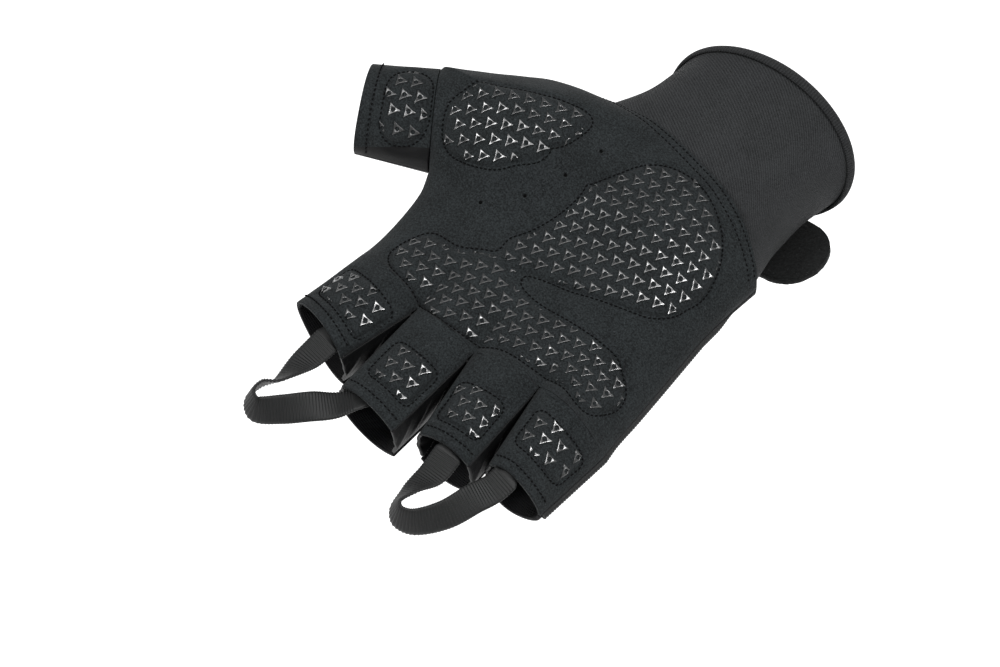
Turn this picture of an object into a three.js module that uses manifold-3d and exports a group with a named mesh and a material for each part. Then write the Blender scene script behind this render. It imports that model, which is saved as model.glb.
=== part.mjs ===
import * as THREE from "three";
import { mergeVertices } from "three/addons/utils/BufferGeometryUtils.js";
import Module from "manifold-3d";

// Half-finger weightlifting glove for a right hand, in its worn form with the palm up.
// Millimetres. The origin is the centre of the wrist opening, the fingers point along -Y,
// the thumb side is -X and the palm faces +Z.

// Driving sizes of the hand that fills the glove
const PALM_WIDTH = 96;
const PALM_LENGTH = 86;
const HAND_DEPTH = 28;
const CUFF_LENGTH = 38;
const WRIST_WIDTH = 69;
const WRIST_DEPTH = 46;
const RIM_TILT = 28;
const RIM_TURN = 9.5;
const RIM_CURVE = 1;
const CUFF_WAIST = 3;
const FINGER_LENGTH = 36;
const FINGER_WIDTH = 20;
const FINGER_FRONT = 18.5;
const FINGER_BACK = 3;
const FINGER_CROWN = 4;
const THUMB_LENGTH = 22.5;
const THUMB_WIDTH = 28.5;
const THUMB_CROWN = 9;
const THUMB_HEADING = 38;
const THUMB_ROLL = 20;
const MOUTH_RISE = 11;

// Cloth walls and the space kept between neighbours
const GAP = 0.3;
const SUEDE = 1.2;
const KNIT = 1.2;
const LYCRA = 1;
const NEOPRENE = 2.2;
const BINDING = 1;
const BINDING_WIDTH = 4;
const PAD_RISE = 1.6;
const PAD_EDGE = 0.6;
const PAD_GAP = 0.6;
const LAP_GAP = 0.7;
const STRAP_GAP = BINDING + 3 * GAP;

// Rows of the cuff from its edge under the panels (-1) past the seam (0) to the rim (1), and the
// row from which the binding holds it
const CUFF_ROWS = [-1, -0.4, 0.03, 0.2, 0.4, 0.6, 0.78, 0.88, 1];
const BOUND_FROM = 0.8;

// Trim
const LAP = 0.06;
const VENT_RADIUS = 0.6;
const LOOP_WIDTH = 8.7;
const LOOP_THICKNESS = 1;
const LOOP_REACH = 28;
const LOOP_TUCK = 5;
const LOOP_UNDER = SUEDE + 3 * GAP;
const STRAP_THICKNESS = 2;
const STRAP_WIDTH = 34;
const STRAP_START = 0.12;
const STRAP_LEAVES = 0.8;
const STRAP_MIDDLE = 0.55;
const TAB_LENGTH = 20;

// Outline of the hand from the cuff seam (at 0) to the finger roots (at 1). X is a share of
// PALM_WIDTH, Y of PALM_LENGTH towards the fingers, Z and the two depths of HAND_DEPTH.
// A row marked corner ends a smooth stretch: the thumb opening lies between the two corners.
const OUTLINE = [
  {
    at: 0, leftX: -0.378, leftY: -0.02, leftZ: 0.2, rightX: 0.45, rightY: 0.06, rightZ: 0.16,
    palm: 0.52, back: 0.68,
  },
  {
    at: 0.14, leftX: -0.52, leftY: 0.09, leftZ: 0.34, rightX: 0.465, rightY: 0.19, rightZ: 0.2,
    palm: 0.54, back: 0.62,
  },
  {
    at: 0.36, leftX: -0.743, leftY: 0.373, leftZ: 0.6, rightX: 0.49, rightY: 0.36, rightZ: 0.25,
    palm: 0.52, back: 0.56, corner: true,
  },
  {
    at: 0.66, leftX: -0.517, leftY: 0.64, leftZ: 0.32, rightX: 0.545, rightY: 0.62, rightZ: 0.28,
    palm: 0.48, back: 0.5, corner: true,
  },
  {
    at: 0.78, leftX: -0.46, leftY: 0.745, leftZ: 0.3, rightX: 0.57, rightY: 0.74, rightZ: 0.3,
    palm: 0.46, back: 0.47,
  },
  {
    at: 0.9, leftX: -0.412, leftY: 0.9, leftZ: 0.31, rightX: 0.59, rightY: 0.85, rightZ: 0.31,
    palm: 0.45, back: 0.44,
  },
  {
    at: 1, leftX: -0.405, leftY: 1.05, leftZ: 0.32, rightX: 0.61, rightY: 0.92, rightZ: 0.32,
    palm: 0.45, back: 0.42,
  },
];
const MOUTH_TOP = OUTLINE[2].at;
const MOUTH_BOTTOM = OUTLINE[3].at;
const SEAM_BOW = 0.08;
const SEAM_LEAN = 0.6;

// Fleshy mounds and the hollow of the palm: centre and reach as shares across and along
const MOUNDS = [
  { name: "thumb_mound", across: 0.2, along: 0.28, reachAcross: 0.2, reachAlong: 0.26, rise: 0.17 },
  { name: "heel_mound", across: 0.8, along: 0.26, reachAcross: 0.2, reachAlong: 0.3, rise: 0.1 },
  { name: "palm_hollow", across: 0.5, along: 0.5, reachAcross: 0.2, reachAlong: 0.24, rise: -0.09 },
];

// Ends of the gaps between the fingers along the root line: share across, and how far the end
// lies past the straight root line, as a share of PALM_LENGTH
const ROOTS = [
  { across: 0, past: 0 },
  { across: 0.296, past: 0.051 },
  { across: 0.521, past: 0.046 },
  { across: 0.735, past: -0.009 },
  { across: 1, past: 0 },
];
const ROOT_FADE = 0.74;

// Fingers: length as a share of FINGER_LENGTH, width of FINGER_WIDTH, and the heading of the
// finger and of its hem in degrees towards the little finger
const FINGERS = [
  { name: "index", length: 0.725, width: 1.36, heading: -1, hem: -8.5 },
  { name: "middle", length: 0.95, width: 1.045, heading: 9, hem: 5.5 },
  { name: "ring", length: 0.875, width: 0.885, heading: 15.5, hem: 13 },
  { name: "little", length: 0.755, width: 0.945, heading: 13, hem: 11.5 },
];

// Small numbers used by every surface
const ACROSS_CELLS = 6;
const TIP_ROWS = 4;
const TURN = Math.PI / 180;
const UP = new THREE.Vector3(0, 0, 1);

const mix = (a, b, f) => a + (b - a) * f;
const ease = (f) => f * f * (3 - 2 * f);
const clamp = (f) => Math.min(1, Math.max(0, f));

// Smooth value of a table column at a station; rows marked corner break the curve
function along(rows, column, at) {
  let i = rows.length - 2;
  while (i > 0 && at < rows[i].at) i -= 1;
  const a = rows[i];
  const b = rows[i + 1];
  const span = b.at - a.at;
  const f = (at - a.at) / span;
  const slope = (p, q) => (q[column] - p[column]) / (q.at - p.at);
  const start = a.corner || i === 0 ? slope(a, b) : slope(rows[i - 1], b);
  const end = b.corner || i === rows.length - 2 ? slope(a, b) : slope(a, rows[i + 2]);
  const cube = f * f * f;
  const square = f * f;
  return (2 * cube - 3 * square + 1) * a[column] + (3 * square - 2 * cube) * b[column]
    + span * ((cube - 2 * square + f) * start + (cube - square) * end);
}

// Left or right end of the row at a station of the hand
function outlineEnd(side, at) {
  return new THREE.Vector3(
    PALM_WIDTH * along(OUTLINE, `${side}X`, at),
    -CUFF_LENGTH - PALM_LENGTH * along(OUTLINE, `${side}Y`, at),
    HAND_DEPTH * along(OUTLINE, `${side}Z`, at),
  );
}

// Plan position of the end of a gap between two fingers
function rootPoint(index) {
  const root = ROOTS[index];
  const point = outlineEnd("left", 1).lerp(outlineEnd("right", 1), root.across);
  point.y -= PALM_LENGTH * root.past;
  return point;
}

const ROOT_POINTS = ROOTS.map((root, index) => rootPoint(index));

// Plan position of a corner of a finger's hem: -1 is its thumb side, 1 its little-finger side
function hemCorner(index, side) {
  const finger = FINGERS[index];
  const middle = ROOT_POINTS[index].clone().lerp(ROOT_POINTS[index + 1], 0.5);
  const length = FINGER_LENGTH * finger.length;
  const half = 0.5 * FINGER_WIDTH * finger.width * side;
  middle.x += length * Math.sin(finger.heading * TURN) + half * Math.cos(finger.hem * TURN);
  middle.y += -length * Math.cos(finger.heading * TURN) + half * Math.sin(finger.hem * TURN);
  return middle;
}

// Height of the edge of a finger's palm strip (face 1) or back strip (face -1). The outer
// sides of the index and little fingers meet their other strip at the seam level.
function fingerEdgeHeight(index, side, face) {
  const outer = (index === 0 && side < 0) || (index === FINGERS.length - 1 && side > 0);
  if (outer) return ROOT_POINTS[index + (side > 0 ? 1 : 0)].z;
  return face > 0 ? FINGER_FRONT : FINGER_BACK;
}

// Edge of a finger from its root (t 0) to its hem (t 1)
function fingerEdge(index, side, t, face) {
  const point = ROOT_POINTS[index + (side > 0 ? 1 : 0)].clone().lerp(hemCorner(index, side), t);
  point.z = fingerEdgeHeight(index, side, face);
  return point;
}

// Point of a finger's palm or back strip: s runs across it, t along it
function fingerPoint(index, s, t, face) {
  const left = fingerEdge(index, -1, t, face);
  const right = fingerEdge(index, 1, t, face);
  const point = left.clone().lerp(right, s);
  const slant = Math.abs(left.z - right.z) / 2;
  const q = 2 * s - 1;
  const outer = (index === 0 && q < 0) || (index === FINGERS.length - 1 && q > 0);
  const rise = (FINGER_CROWN + slant) * Math.pow(1 - q * q, outer ? 0.5 : 0.9);
  point.z += face * rise;
  return point;
}

// Share across the hand to the finger it leads to, and the share across that finger
function fingerAt(w) {
  let index = FINGERS.length - 1;
  while (index > 0 && w < ROOTS[index].across) index -= 1;
  const s = (w - ROOTS[index].across) / (ROOTS[index + 1].across - ROOTS[index].across);
  return { index, s: clamp(s) };
}

// How far the thumb opening stands open at a station: 0 at its two ends, 1 in its middle
function mouthOpening(at) {
  const f = clamp((at - MOUTH_TOP) / (MOUTH_BOTTOM - MOUTH_TOP));
  return Math.pow(Math.sin(Math.PI * f), 0.6);
}

// Point of the palm (face 1) or the back (face -1) of the hand; w runs from the thumb side to
// the little-finger side and v from the cuff seam to the finger roots
function handPoint(w, v, face) {
  const left = outlineEnd("left", v);
  const point = left.clone().lerp(outlineEnd("right", v), w);
  const q = 2 * w - 1;
  const depth = HAND_DEPTH * along(OUTLINE, face > 0 ? "palm" : "back", v);
  const arch = depth * Math.pow(1 - Math.pow(Math.abs(q), 2.4), 0.5);
  const open = MOUTH_RISE * mouthOpening(v) * Math.pow(1 - w, 6);
  let rise = Math.hypot(arch, open);
  if (face > 0) {
    for (const mound of MOUNDS) {
      const a = (w - mound.across) / mound.reachAcross;
      const b = (v - mound.along) / mound.reachAlong;
      rise += HAND_DEPTH * mound.rise * Math.exp(-a * a - b * b) * Math.min(1, arch / depth);
    }
  }
  point.z += face * rise;
  point.y += PALM_LENGTH * SEAM_BOW * (1 - q * q) * (1 + SEAM_LEAN * q) * Math.pow(1 - v, 2);
  const { index, s } = fingerAt(w);
  const root = fingerPoint(index, s, 0, face);
  return point.lerp(root, ease(clamp((v - ROOT_FADE) / (1 - ROOT_FADE))));
}

// Outward normal of a surface given by two parameters, from small steps to either side
function surfaceNormal(surface, a, b, face) {
  const step = 0.004;
  const a0 = clamp(a - step);
  const a1 = clamp(a + step);
  const b0 = clamp(b - step);
  const b1 = clamp(b + step);
  const da = surface(a1, b).sub(surface(a0, b));
  const db = surface(a, b1).sub(surface(a, b0));
  return db.cross(da).multiplyScalar(face).normalize();
}

// A cloth wall built from quads of an outer skin; the inner skin lies one wall below it and the
// free edges are closed by strips
class Sheet {
  constructor() {
    this.outer = [];
    this.inner = [];
    this.seams = [];
    this.quads = [];
  }

  // A seam, if given, is the level that the inner skin stays above (face 1) or below (face -1)
  vertex(outer, inner = null, seam = null) {
    this.outer.push(outer);
    this.inner.push(inner);
    this.seams.push(seam);
    return this.outer.length - 1;
  }

  innerPoint(id, normal, wall) {
    if (this.inner[id]) return this.inner[id];
    const point = this.outer[id].clone().addScaledVector(normal, -wall);
    const seam = this.seams[id];
    if (seam && seam.face * (point.z - seam.level) < GAP / 2) point.z = seam.level + seam.face * GAP / 2;
    return point;
  }

  // Quads between rows of vertex numbers; a closed grid joins its last column to its first
  grid(rows, flip = false, closed = false) {
    for (let r = 0; r + 1 < rows.length; r += 1) {
      const count = rows[r].length;
      for (let c = 0; c + (closed ? 0 : 1) < count; c += 1) {
        const next = (c + 1) % count;
        const quad = [rows[r][c], rows[r + 1][c], rows[r + 1][next], rows[r][next]];
        this.quads.push(flip ? quad.reverse() : quad);
      }
    }
  }

  normals() {
    const sums = this.outer.map(() => new THREE.Vector3());
    for (const quad of this.quads) {
      const [a, b, c, d] = quad.map((id) => this.outer[id]);
      const normal = c.clone().sub(a).cross(d.clone().sub(b));
      for (const id of quad) sums[id].add(normal);
    }
    return sums.map((sum) => sum.normalize());
  }

  // Edges that belong to one quad only
  freeEdges() {
    const edges = new Map();
    for (const quad of this.quads) {
      quad.forEach((from, k) => {
        const to = quad[(k + 1) % quad.length];
        if (from === to) return;
        const back = `${to}_${from}`;
        if (edges.has(back)) edges.delete(back);
        else edges.set(`${from}_${to}`, [from, to]);
      });
    }
    return [...edges.values()];
  }

  rimVertices() {
    return new Set(this.freeEdges().flat());
  }

  geometry(wall = 0) {
    const normals = this.normals();
    const count = this.outer.length;
    const inner = this.outer.map((point, id) => this.innerPoint(id, normals[id], wall));
    const triangles = [];
    const addQuad = (a, b, c, d) => {
      if (a !== b && b !== c && a !== c) triangles.push(a, b, c);
      if (a !== c && c !== d && a !== d) triangles.push(a, c, d);
    };
    for (const quad of this.quads) {
      const [a, b, c, d] = quad;
      addQuad(a, b, c, d);
      addQuad(d + count, c + count, b + count, a + count);
    }
    for (const [from, to] of this.freeEdges()) addQuad(to, from, from + count, to + count);
    const positions = [...this.outer, ...inner].flatMap((point) => point.toArray());
    const geometry = new THREE.BufferGeometry();
    geometry.setAttribute("position", new THREE.Float32BufferAttribute(positions, 3));
    geometry.setIndex(triangles);
    return geometry;
  }
}

// Shares across the hand of the grid columns: each finger has its own cells, closer together
// at the rounded outer edges
function columnShares() {
  const shares = [0];
  FINGERS.forEach((finger, index) => {
    for (let k = 1; k <= ACROSS_CELLS; k += 1) {
      const f = k / ACROSS_CELLS;
      let s = f;
      if (index === 0) s = 1 - Math.cos(f * Math.PI / 2);
      if (index === FINGERS.length - 1) s = Math.sin(f * Math.PI / 2);
      shares.push(mix(ROOTS[index].across, ROOTS[index + 1].across, s));
    }
  });
  return shares;
}

const COLUMNS = columnShares();

// Stations of the rows between the cuff seam and the finger roots, with one at each row of the
// outline
function rowStations() {
  const stations = [0];
  for (let i = 1; i < OUTLINE.length; i += 1) {
    const from = OUTLINE[i - 1].at;
    const to = OUTLINE[i].at;
    const cells = Math.max(2, Math.round((to - from) / 0.07));
    for (let k = 1; k <= cells; k += 1) stations.push(mix(from, to, k / cells));
  }
  return stations;
}

// The palm or back panel: the hand's surface and its four finger strips in one sheet
function handPanel(face, wall) {
  const sheet = new Sheet();
  const lift = new THREE.Vector3(0, 0, face * GAP / 2);
  const rows = rowStations().map((v) => {
    const [left, right] = ["left", "right"].map((side) => outlineEnd(side, v).z);
    return COLUMNS.map((w) => {
      const seam = { face, level: mix(left, right, w) };
      return sheet.vertex(handPoint(w, v, face).add(lift), null, seam);
    });
  });
  sheet.grid(rows, face < 0);
  FINGERS.forEach((finger, index) => {
    const first = index * ACROSS_CELLS;
    const root = rows[rows.length - 1].slice(first, first + ACROSS_CELLS + 1);
    const strip = [root];
    for (let r = 1; r <= TIP_ROWS; r += 1) {
      strip.push(root.map((id, c) => {
        const { s } = fingerShare(index, COLUMNS[first + c]);
        const point = fingerPoint(index, s, r / TIP_ROWS, face).add(lift);
        return sheet.vertex(point, null, { face, level: ROOT_POINTS[index < 2 ? 0 : FINGERS.length].z });
      }));
    }
    sheet.grid(strip, face < 0);
  });
  return sheet.geometry(wall);
}

// Share across one finger of a share across the hand
function fingerShare(index, w) {
  const from = ROOTS[index].across;
  return { s: clamp((w - from) / (ROOTS[index + 1].across - from)) };
}

// Thumb tube: its hem frame, then a strip between the edge of the thumb opening and the hem
function thumbHem() {
  const top = outlineEnd("left", MOUTH_TOP);
  const bottom = outlineEnd("left", MOUTH_BOTTOM);
  const middle = top.clone().lerp(bottom, 0.5);
  const heading = THUMB_HEADING * TURN;
  const axis = new THREE.Vector3(-Math.cos(heading), -Math.sin(heading), 0);
  const flat = new THREE.Vector3(Math.sin(heading), -Math.cos(heading), 0);
  const chord = flat.multiplyScalar(Math.cos(THUMB_ROLL * TURN));
  chord.addScaledVector(UP, -Math.sin(THUMB_ROLL * TURN));
  const normal = new THREE.Vector3().crossVectors(axis, chord).normalize();
  if (normal.z < 0) normal.negate();
  middle.addScaledVector(axis, THUMB_LENGTH);
  return { middle, chord, normal };
}

const THUMB_HEM = thumbHem();

// Level of the seam plane between the thumb's two panels
function thumbSeam(s, t) {
  const from = outlineEnd("left", mix(MOUTH_TOP, MOUTH_BOTTOM, s)).z;
  const to = THUMB_HEM.middle.z - 0.5 * THUMB_WIDTH * Math.cos(Math.PI * s) * THUMB_HEM.chord.z;
  return mix(from, to, t);
}

function thumbPoint(s, t, face) {
  const from = handPoint(0, mix(MOUTH_TOP, MOUTH_BOTTOM, s), face);
  const angle = Math.PI * s;
  const to = THUMB_HEM.middle.clone()
    .addScaledVector(THUMB_HEM.chord, -0.5 * THUMB_WIDTH * Math.cos(angle))
    .addScaledVector(THUMB_HEM.normal, face * THUMB_CROWN * Math.sin(angle));
  return from.lerp(to, t);
}

function thumbPanel(face, wall) {
  const sheet = new Sheet();
  const lift = new THREE.Vector3(0, 0, face * GAP / 2);
  const start = GAP / THUMB_LENGTH;
  const cells = 10;
  const rows = [];
  for (let r = 0; r <= TIP_ROWS; r += 1) {
    const t = mix(start, 1, r / TIP_ROWS);
    const row = [];
    for (let c = 0; c <= cells; c += 1) {
      const s = (1 - Math.cos(Math.PI * c / cells)) / 2;
      row.push(sheet.vertex(thumbPoint(s, t, face).add(lift), null, { face, level: thumbSeam(s, t) }));
    }
    rows.push(row);
  }
  sheet.grid(rows, face < 0);
  return sheet.geometry(wall);
}

// Side wall between two fingers: down one finger, round the end of the gap and up the next
function fourchette(index) {
  const sheet = new Sheet();
  const top = SUEDE + 2 * GAP;
  const bottom = KNIT + 2 * GAP;
  const start = 0.12;
  const levels = 4;
  const stations = [];
  const shares = [0, 0.2, 0.4, 0.6, 0.8, 1].map((f) => mix(start, 1, f));
  for (const t of [...shares].reverse()) stations.push({ finger: index, side: 1, t });
  for (const turn of [0.25, 0.5, 0.75]) stations.push({ turn });
  for (const t of shares) stations.push({ finger: index + 1, side: -1, t });
  const edgeAt = (station) => {
    if (station.turn === undefined) return fingerEdge(station.finger, station.side, station.t, 1);
    const from = fingerEdge(index, 1, start, 1);
    const to = fingerEdge(index + 1, -1, start, 1);
    const middle = from.clone().lerp(to, 0.5);
    const half = to.clone().sub(from).multiplyScalar(0.5);
    const back = new THREE.Vector3(-half.y, half.x, 0);
    const angle = Math.PI * station.turn;
    return middle.addScaledVector(half, -Math.cos(angle)).addScaledVector(back, Math.sin(angle));
  };
  const rows = stations.map((station) => {
    const edge = edgeAt(station);
    const row = [];
    const bulge = station.t === undefined ? 0 : 1.6 * station.t * station.side;
    for (let level = 0; level <= levels; level += 1) {
      const f = level / levels;
      const point = edge.clone();
      point.z = mix(FINGER_FRONT - top, FINGER_BACK + bottom, f);
      point.x += bulge * Math.sin(Math.PI * f);
      row.push(sheet.vertex(point));
    }
    return row;
  });
  sheet.grid(rows, true);
  return sheet.geometry(LYCRA);
}

// Ring of stations around the wrist: palm columns one way, back columns the other
function ringStations() {
  const palm = COLUMNS.map((w, k) => ({ w, face: k === 0 || k === COLUMNS.length - 1 ? 0 : 1 }));
  const back = COLUMNS.slice(1, -1).reverse().map((w) => ({ w, face: -1 }));
  return [...palm, ...back];
}

// The rim of the wrist opening, an oval that leans back and is cut longer on the palm side
function rimPoint({ w, face }) {
  const c = 2 * w - 1;
  const s = face * Math.sqrt(Math.max(0, 1 - c * c));
  const tilt = RIM_TILT * TURN;
  const point = new THREE.Vector3(
    0.5 * WRIST_WIDTH * c,
    0.5 * WRIST_DEPTH * s * Math.sin(tilt) + RIM_CURVE * Math.abs(s),
    0.5 * WRIST_DEPTH * s * Math.cos(tilt),
  );
  return point.applyAxisAngle(UP, RIM_TURN * TURN);
}

// The hand's surface at a ring station, set in by the panel's wall and a gap
function insetPoint({ w, face }, v) {
  const side = face === 0 ? 1 : face;
  const surface = (a, b) => handPoint(a, b, side);
  const point = face === 0 ? outlineEnd(w < 0.5 ? "left" : "right", v) : handPoint(w, v, face);
  const normal = surfaceNormal(surface, w, v, side);
  if (face === 0) normal.z = 0;
  return point.addScaledVector(normal.normalize(), -(SUEDE + LAP_GAP));
}

// Directions at a station of the rim: out of the cuff, and along it towards the rim
function rimFrame(station) {
  const ahead = rimPoint(station).sub(insetPoint(station, 0));
  ahead.x += 4 * CUFF_WAIST * Math.pow(2 * station.w - 1, 3);
  ahead.normalize();
  const out = rimPoint(station).normalize();
  out.addScaledVector(ahead, -out.dot(ahead)).normalize();
  return { ahead, out };
}

// Outer surface of the cuff: t 0 at the panels' edge and 1 where the binding folds over it;
// below 0 it runs on under the panels
function cuffPoint(station, t) {
  if (t <= 0) return insetPoint(station, -t * LAP);
  const base = insetPoint(station, 0);
  const { ahead, out } = rimFrame(station);
  const held = BINDING + GAP;
  const end = rimPoint(station).addScaledVector(out, -held).addScaledVector(ahead, -held);
  const point = base.lerp(end, t);
  point.x -= CUFF_WAIST * 4 * t * (1 - t) * Math.pow(2 * station.w - 1, 3);
  return point;
}

function cuff() {
  const sheet = new Sheet();
  const stations = ringStations();
  const rows = CUFF_ROWS.map((t) => stations.map((station) => {
    const outer = cuffPoint(station, t);
    if (t < BOUND_FROM) return sheet.vertex(outer);
    return sheet.vertex(outer, outer.clone().addScaledVector(rimFrame(station).out, -NEOPRENE));
  }));
  sheet.grid(rows, true, true);
  return sheet.geometry(NEOPRENE);
}

// Solid with the same polygon section at each station, joined end to end or capped
function sectionSolid(sections, closed) {
  const count = sections[0].length;
  const triangles = [];
  const stations = closed ? sections.length : sections.length - 1;
  for (let k = 0; k < stations; k += 1) {
    const next = (k + 1) % sections.length;
    for (let j = 0; j < count; j += 1) {
      const a = k * count + j;
      const b = k * count + (j + 1) % count;
      const c = next * count + (j + 1) % count;
      const d = next * count + j;
      triangles.push(a, b, c, a, c, d);
    }
  }
  if (!closed) {
    const last = (sections.length - 1) * count;
    for (let j = 1; j + 1 < count; j += 1) {
      triangles.push(0, j + 1, j, last, last + j, last + j + 1);
    }
  }
  const geometry = new THREE.BufferGeometry();
  const positions = sections.flat().flatMap((point) => point.toArray());
  geometry.setAttribute("position", new THREE.Float32BufferAttribute(positions, 3));
  geometry.setIndex(triangles);
  return facingOut(geometry);
}

// The binding folded over the rim: a channel section that holds the cuff's edge
function cuffBinding() {
  const depth = 2 * (BINDING + GAP) + NEOPRENE;
  const fold = 0.8 * BINDING;
  const profile = [
    [0, BINDING_WIDTH], [0, fold], [fold, 0],
    [depth - fold, 0], [depth, fold], [depth, BINDING_WIDTH],
    [depth - BINDING, BINDING_WIDTH], [depth - BINDING, BINDING],
    [BINDING, BINDING], [BINDING, BINDING_WIDTH],
  ];
  const sections = ringStations().map((station) => {
    const { ahead, out } = rimFrame(station);
    return profile.map(([inward, back]) => rimPoint(station)
      .addScaledVector(out, -inward).addScaledVector(ahead, -back));
  });
  return sectionSolid(sections, true);
}

// Pads are cut on a flat pattern of the palm: across and along are shares of its width and
// length, half is half the pad's width in shares of the palm width
const KNUCKLE_PAD = [
  { at: 0, across: 0.105, along: 0.885, half: 0.028 },
  { at: 0.08, across: 0.14, along: 0.88, half: 0.058 },
  { at: 0.2, across: 0.25, along: 0.872, half: 0.064 },
  { at: 0.34, across: 0.355, along: 0.868, half: 0.092 },
  { at: 0.45, across: 0.45, along: 0.862, half: 0.078 },
  { at: 0.6, across: 0.575, along: 0.838, half: 0.058 },
  { at: 0.74, across: 0.7, along: 0.822, half: 0.066 },
  { at: 0.86, across: 0.805, along: 0.8, half: 0.07 },
  { at: 0.95, across: 0.885, along: 0.8, half: 0.08 },
  { at: 1, across: 0.94, along: 0.785, half: 0.035 },
];
const HEEL_PAD = [
  { at: 0, across: 0.4, along: 0.765, half: 0.055 },
  { at: 0.12, across: 0.485, along: 0.667, half: 0.071 },
  { at: 0.26, across: 0.565, along: 0.575, half: 0.106 },
  { at: 0.42, across: 0.65, along: 0.495, half: 0.136 },
  { at: 0.58, across: 0.7, along: 0.405, half: 0.176 },
  { at: 0.74, across: 0.73, along: 0.31, half: 0.212 },
  { at: 0.87, across: 0.765, along: 0.215, half: 0.215 },
  { at: 0.96, across: 0.79, along: 0.13, half: 0.16 },
  { at: 1, across: 0.8, along: 0.09, half: 0.085 },
];
const THUMB_MOUND_PAD = [
  { at: 0, across: 0.052, along: 0.575, half: 0.03 },
  { at: 0.1, across: 0.088, along: 0.545, half: 0.066 },
  { at: 0.3, across: 0.15, along: 0.48, half: 0.092 },
  { at: 0.55, across: 0.23, along: 0.405, half: 0.095 },
  { at: 0.78, across: 0.31, along: 0.32, half: 0.095 },
  { at: 0.93, across: 0.36, along: 0.262, half: 0.07 },
  { at: 1, across: 0.385, along: 0.24, half: 0.03 },
];

// Pads on the finger strips and the thumb: their edges as shares across and along the strip
const STRIP_PADS = [
  { name: "index_pad", finger: 0, from: 0.17, to: 0.93, start: 0.3, end: 0.76 },
  { name: "middle_pad", finger: 1, from: 0.2, to: 0.88, start: 0.39, end: 0.77 },
  { name: "ring_pad", finger: 2, from: 0.12, to: 0.84, start: 0.38, end: 0.77 },
  { name: "little_pad", finger: 3, from: 0.18, to: 0.9, start: 0.26, end: 0.68 },
];
const THUMB_PAD = { name: "thumb_pad", from: 0.17, to: 0.87, start: 0.07, end: 0.68 };
const PAD_SIDES = [-1, -0.8, -0.45, 0, 0.45, 0.8, 1];
const PAD_CORNER = 0.22;

// Pattern point of a ribbon-shaped pad; side -1 and 1 are its two edges
function ribbonPlace(rows, at, side) {
  const step = 0.01;
  const before = Math.max(0, at - step);
  const after = Math.min(1, at + step);
  const runX = PALM_WIDTH * (along(rows, "across", after) - along(rows, "across", before));
  const runY = PALM_LENGTH * (along(rows, "along", after) - along(rows, "along", before));
  const half = PALM_WIDTH * along(rows, "half", at) * side / Math.hypot(runX, runY);
  return {
    across: along(rows, "across", at) - half * runY / PALM_WIDTH,
    along: along(rows, "along", at) + half * runX / PALM_LENGTH,
  };
}

// A pad collects places on a surface and lies a gap above them: full height inside, lower at
// its free edge
class Pad {
  constructor(surface) {
    this.surface = surface;
    this.sheet = new Sheet();
    this.places = [];
  }

  vertex(a, b) {
    const point = this.surface(a, b);
    this.places.push({ point, normal: surfaceNormal(this.surface, a, b, 1) });
    return this.sheet.vertex(point, point);
  }

  geometry() {
    const rim = this.sheet.rimVertices();
    this.places.forEach(({ point, normal }, id) => {
      const rise = rim.has(id) ? PAD_EDGE : PAD_RISE;
      this.sheet.outer[id] = point.clone().addScaledVector(normal, PAD_GAP + rise);
      this.sheet.inner[id] = point.clone().addScaledVector(normal, PAD_GAP);
    });
    return this.sheet.geometry();
  }
}

const palmSurface = (w, v) => handPoint(clamp(w), clamp(v), 1).addScaledVector(UP, GAP / 2);

function ribbonRows(pad, rows, cells, from = 0) {
  const result = [];
  for (let k = from; k <= cells; k += 1) {
    result.push(PAD_SIDES.map((side) => {
      const place = ribbonPlace(rows, k / cells, side);
      return pad.vertex(place.across, place.along);
    }));
  }
  return result;
}

// The palm pad: a strip under the knuckles, and a lobe over the heel of the hand that grows out
// of the strip's wrist side
function palmPad() {
  const pad = new Pad(palmSurface);
  const strip = ribbonRows(pad, KNUCKLE_PAD, 24);
  pad.sheet.grid(strip, true);
  const joined = strip.slice(8, 8 + PAD_SIDES.length).map((row) => row[0]);
  pad.sheet.grid([joined, ...ribbonRows(pad, HEEL_PAD, 16, 1)], true);
  return pad.geometry();
}

function thumbMoundPad() {
  const pad = new Pad(palmSurface);
  pad.sheet.grid(ribbonRows(pad, THUMB_MOUND_PAD, 14), true);
  return pad.geometry();
}

// A pad with cut corners on a finger strip or the thumb
function stripPad(surface, { from, to, start, end }) {
  const pad = new Pad(surface);
  const shares = [0, PAD_CORNER, 0.5, 1 - PAD_CORNER, 1];
  const rows = shares.map((down) => {
    const cut = down === 0 || down === 1 ? PAD_CORNER : 0;
    return shares.map((share) => {
      const s = mix(from, to, mix(cut, 1 - cut, share));
      return pad.vertex(s, mix(start, end, down));
    });
  });
  pad.sheet.grid(rows);
  return pad.geometry();
}

// Courses of the two pull loops between neighbouring fingers: side is a share of the distance
// between their ends, out and up are shares of LOOP_REACH, turn is the twist in degrees
const INDEX_LOOP = {
  name: "pull_loop_index_middle", finger: 0, from: 0.76, to: 0.31,
  course: [
    { at: 0, side: -0.5, out: 0, up: 0, turn: -14 },
    { at: 0.12, side: -0.37, out: 0.3, up: -0.06, turn: 8 },
    { at: 0.26, side: -0.17, out: 0.65, up: 0.01, turn: 55 },
    { at: 0.35, side: -0.2, out: 0.84, up: 0.02, turn: 72 },
    { at: 0.44, side: -0.1, out: 1, up: 0.02, turn: 68 },
    { at: 0.54, side: 0.12, out: 1, up: 0.01, turn: 60 },
    { at: 0.66, side: 0.26, out: 0.76, up: 0.01, turn: 45 },
    { at: 0.8, side: 0.36, out: 0.47, up: -0.01, turn: 25 },
    { at: 0.91, side: 0.44, out: 0.2, up: -0.07, turn: -6 },
    { at: 1, side: 0.5, out: 0, up: 0, turn: -17 },
  ],
};
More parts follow.
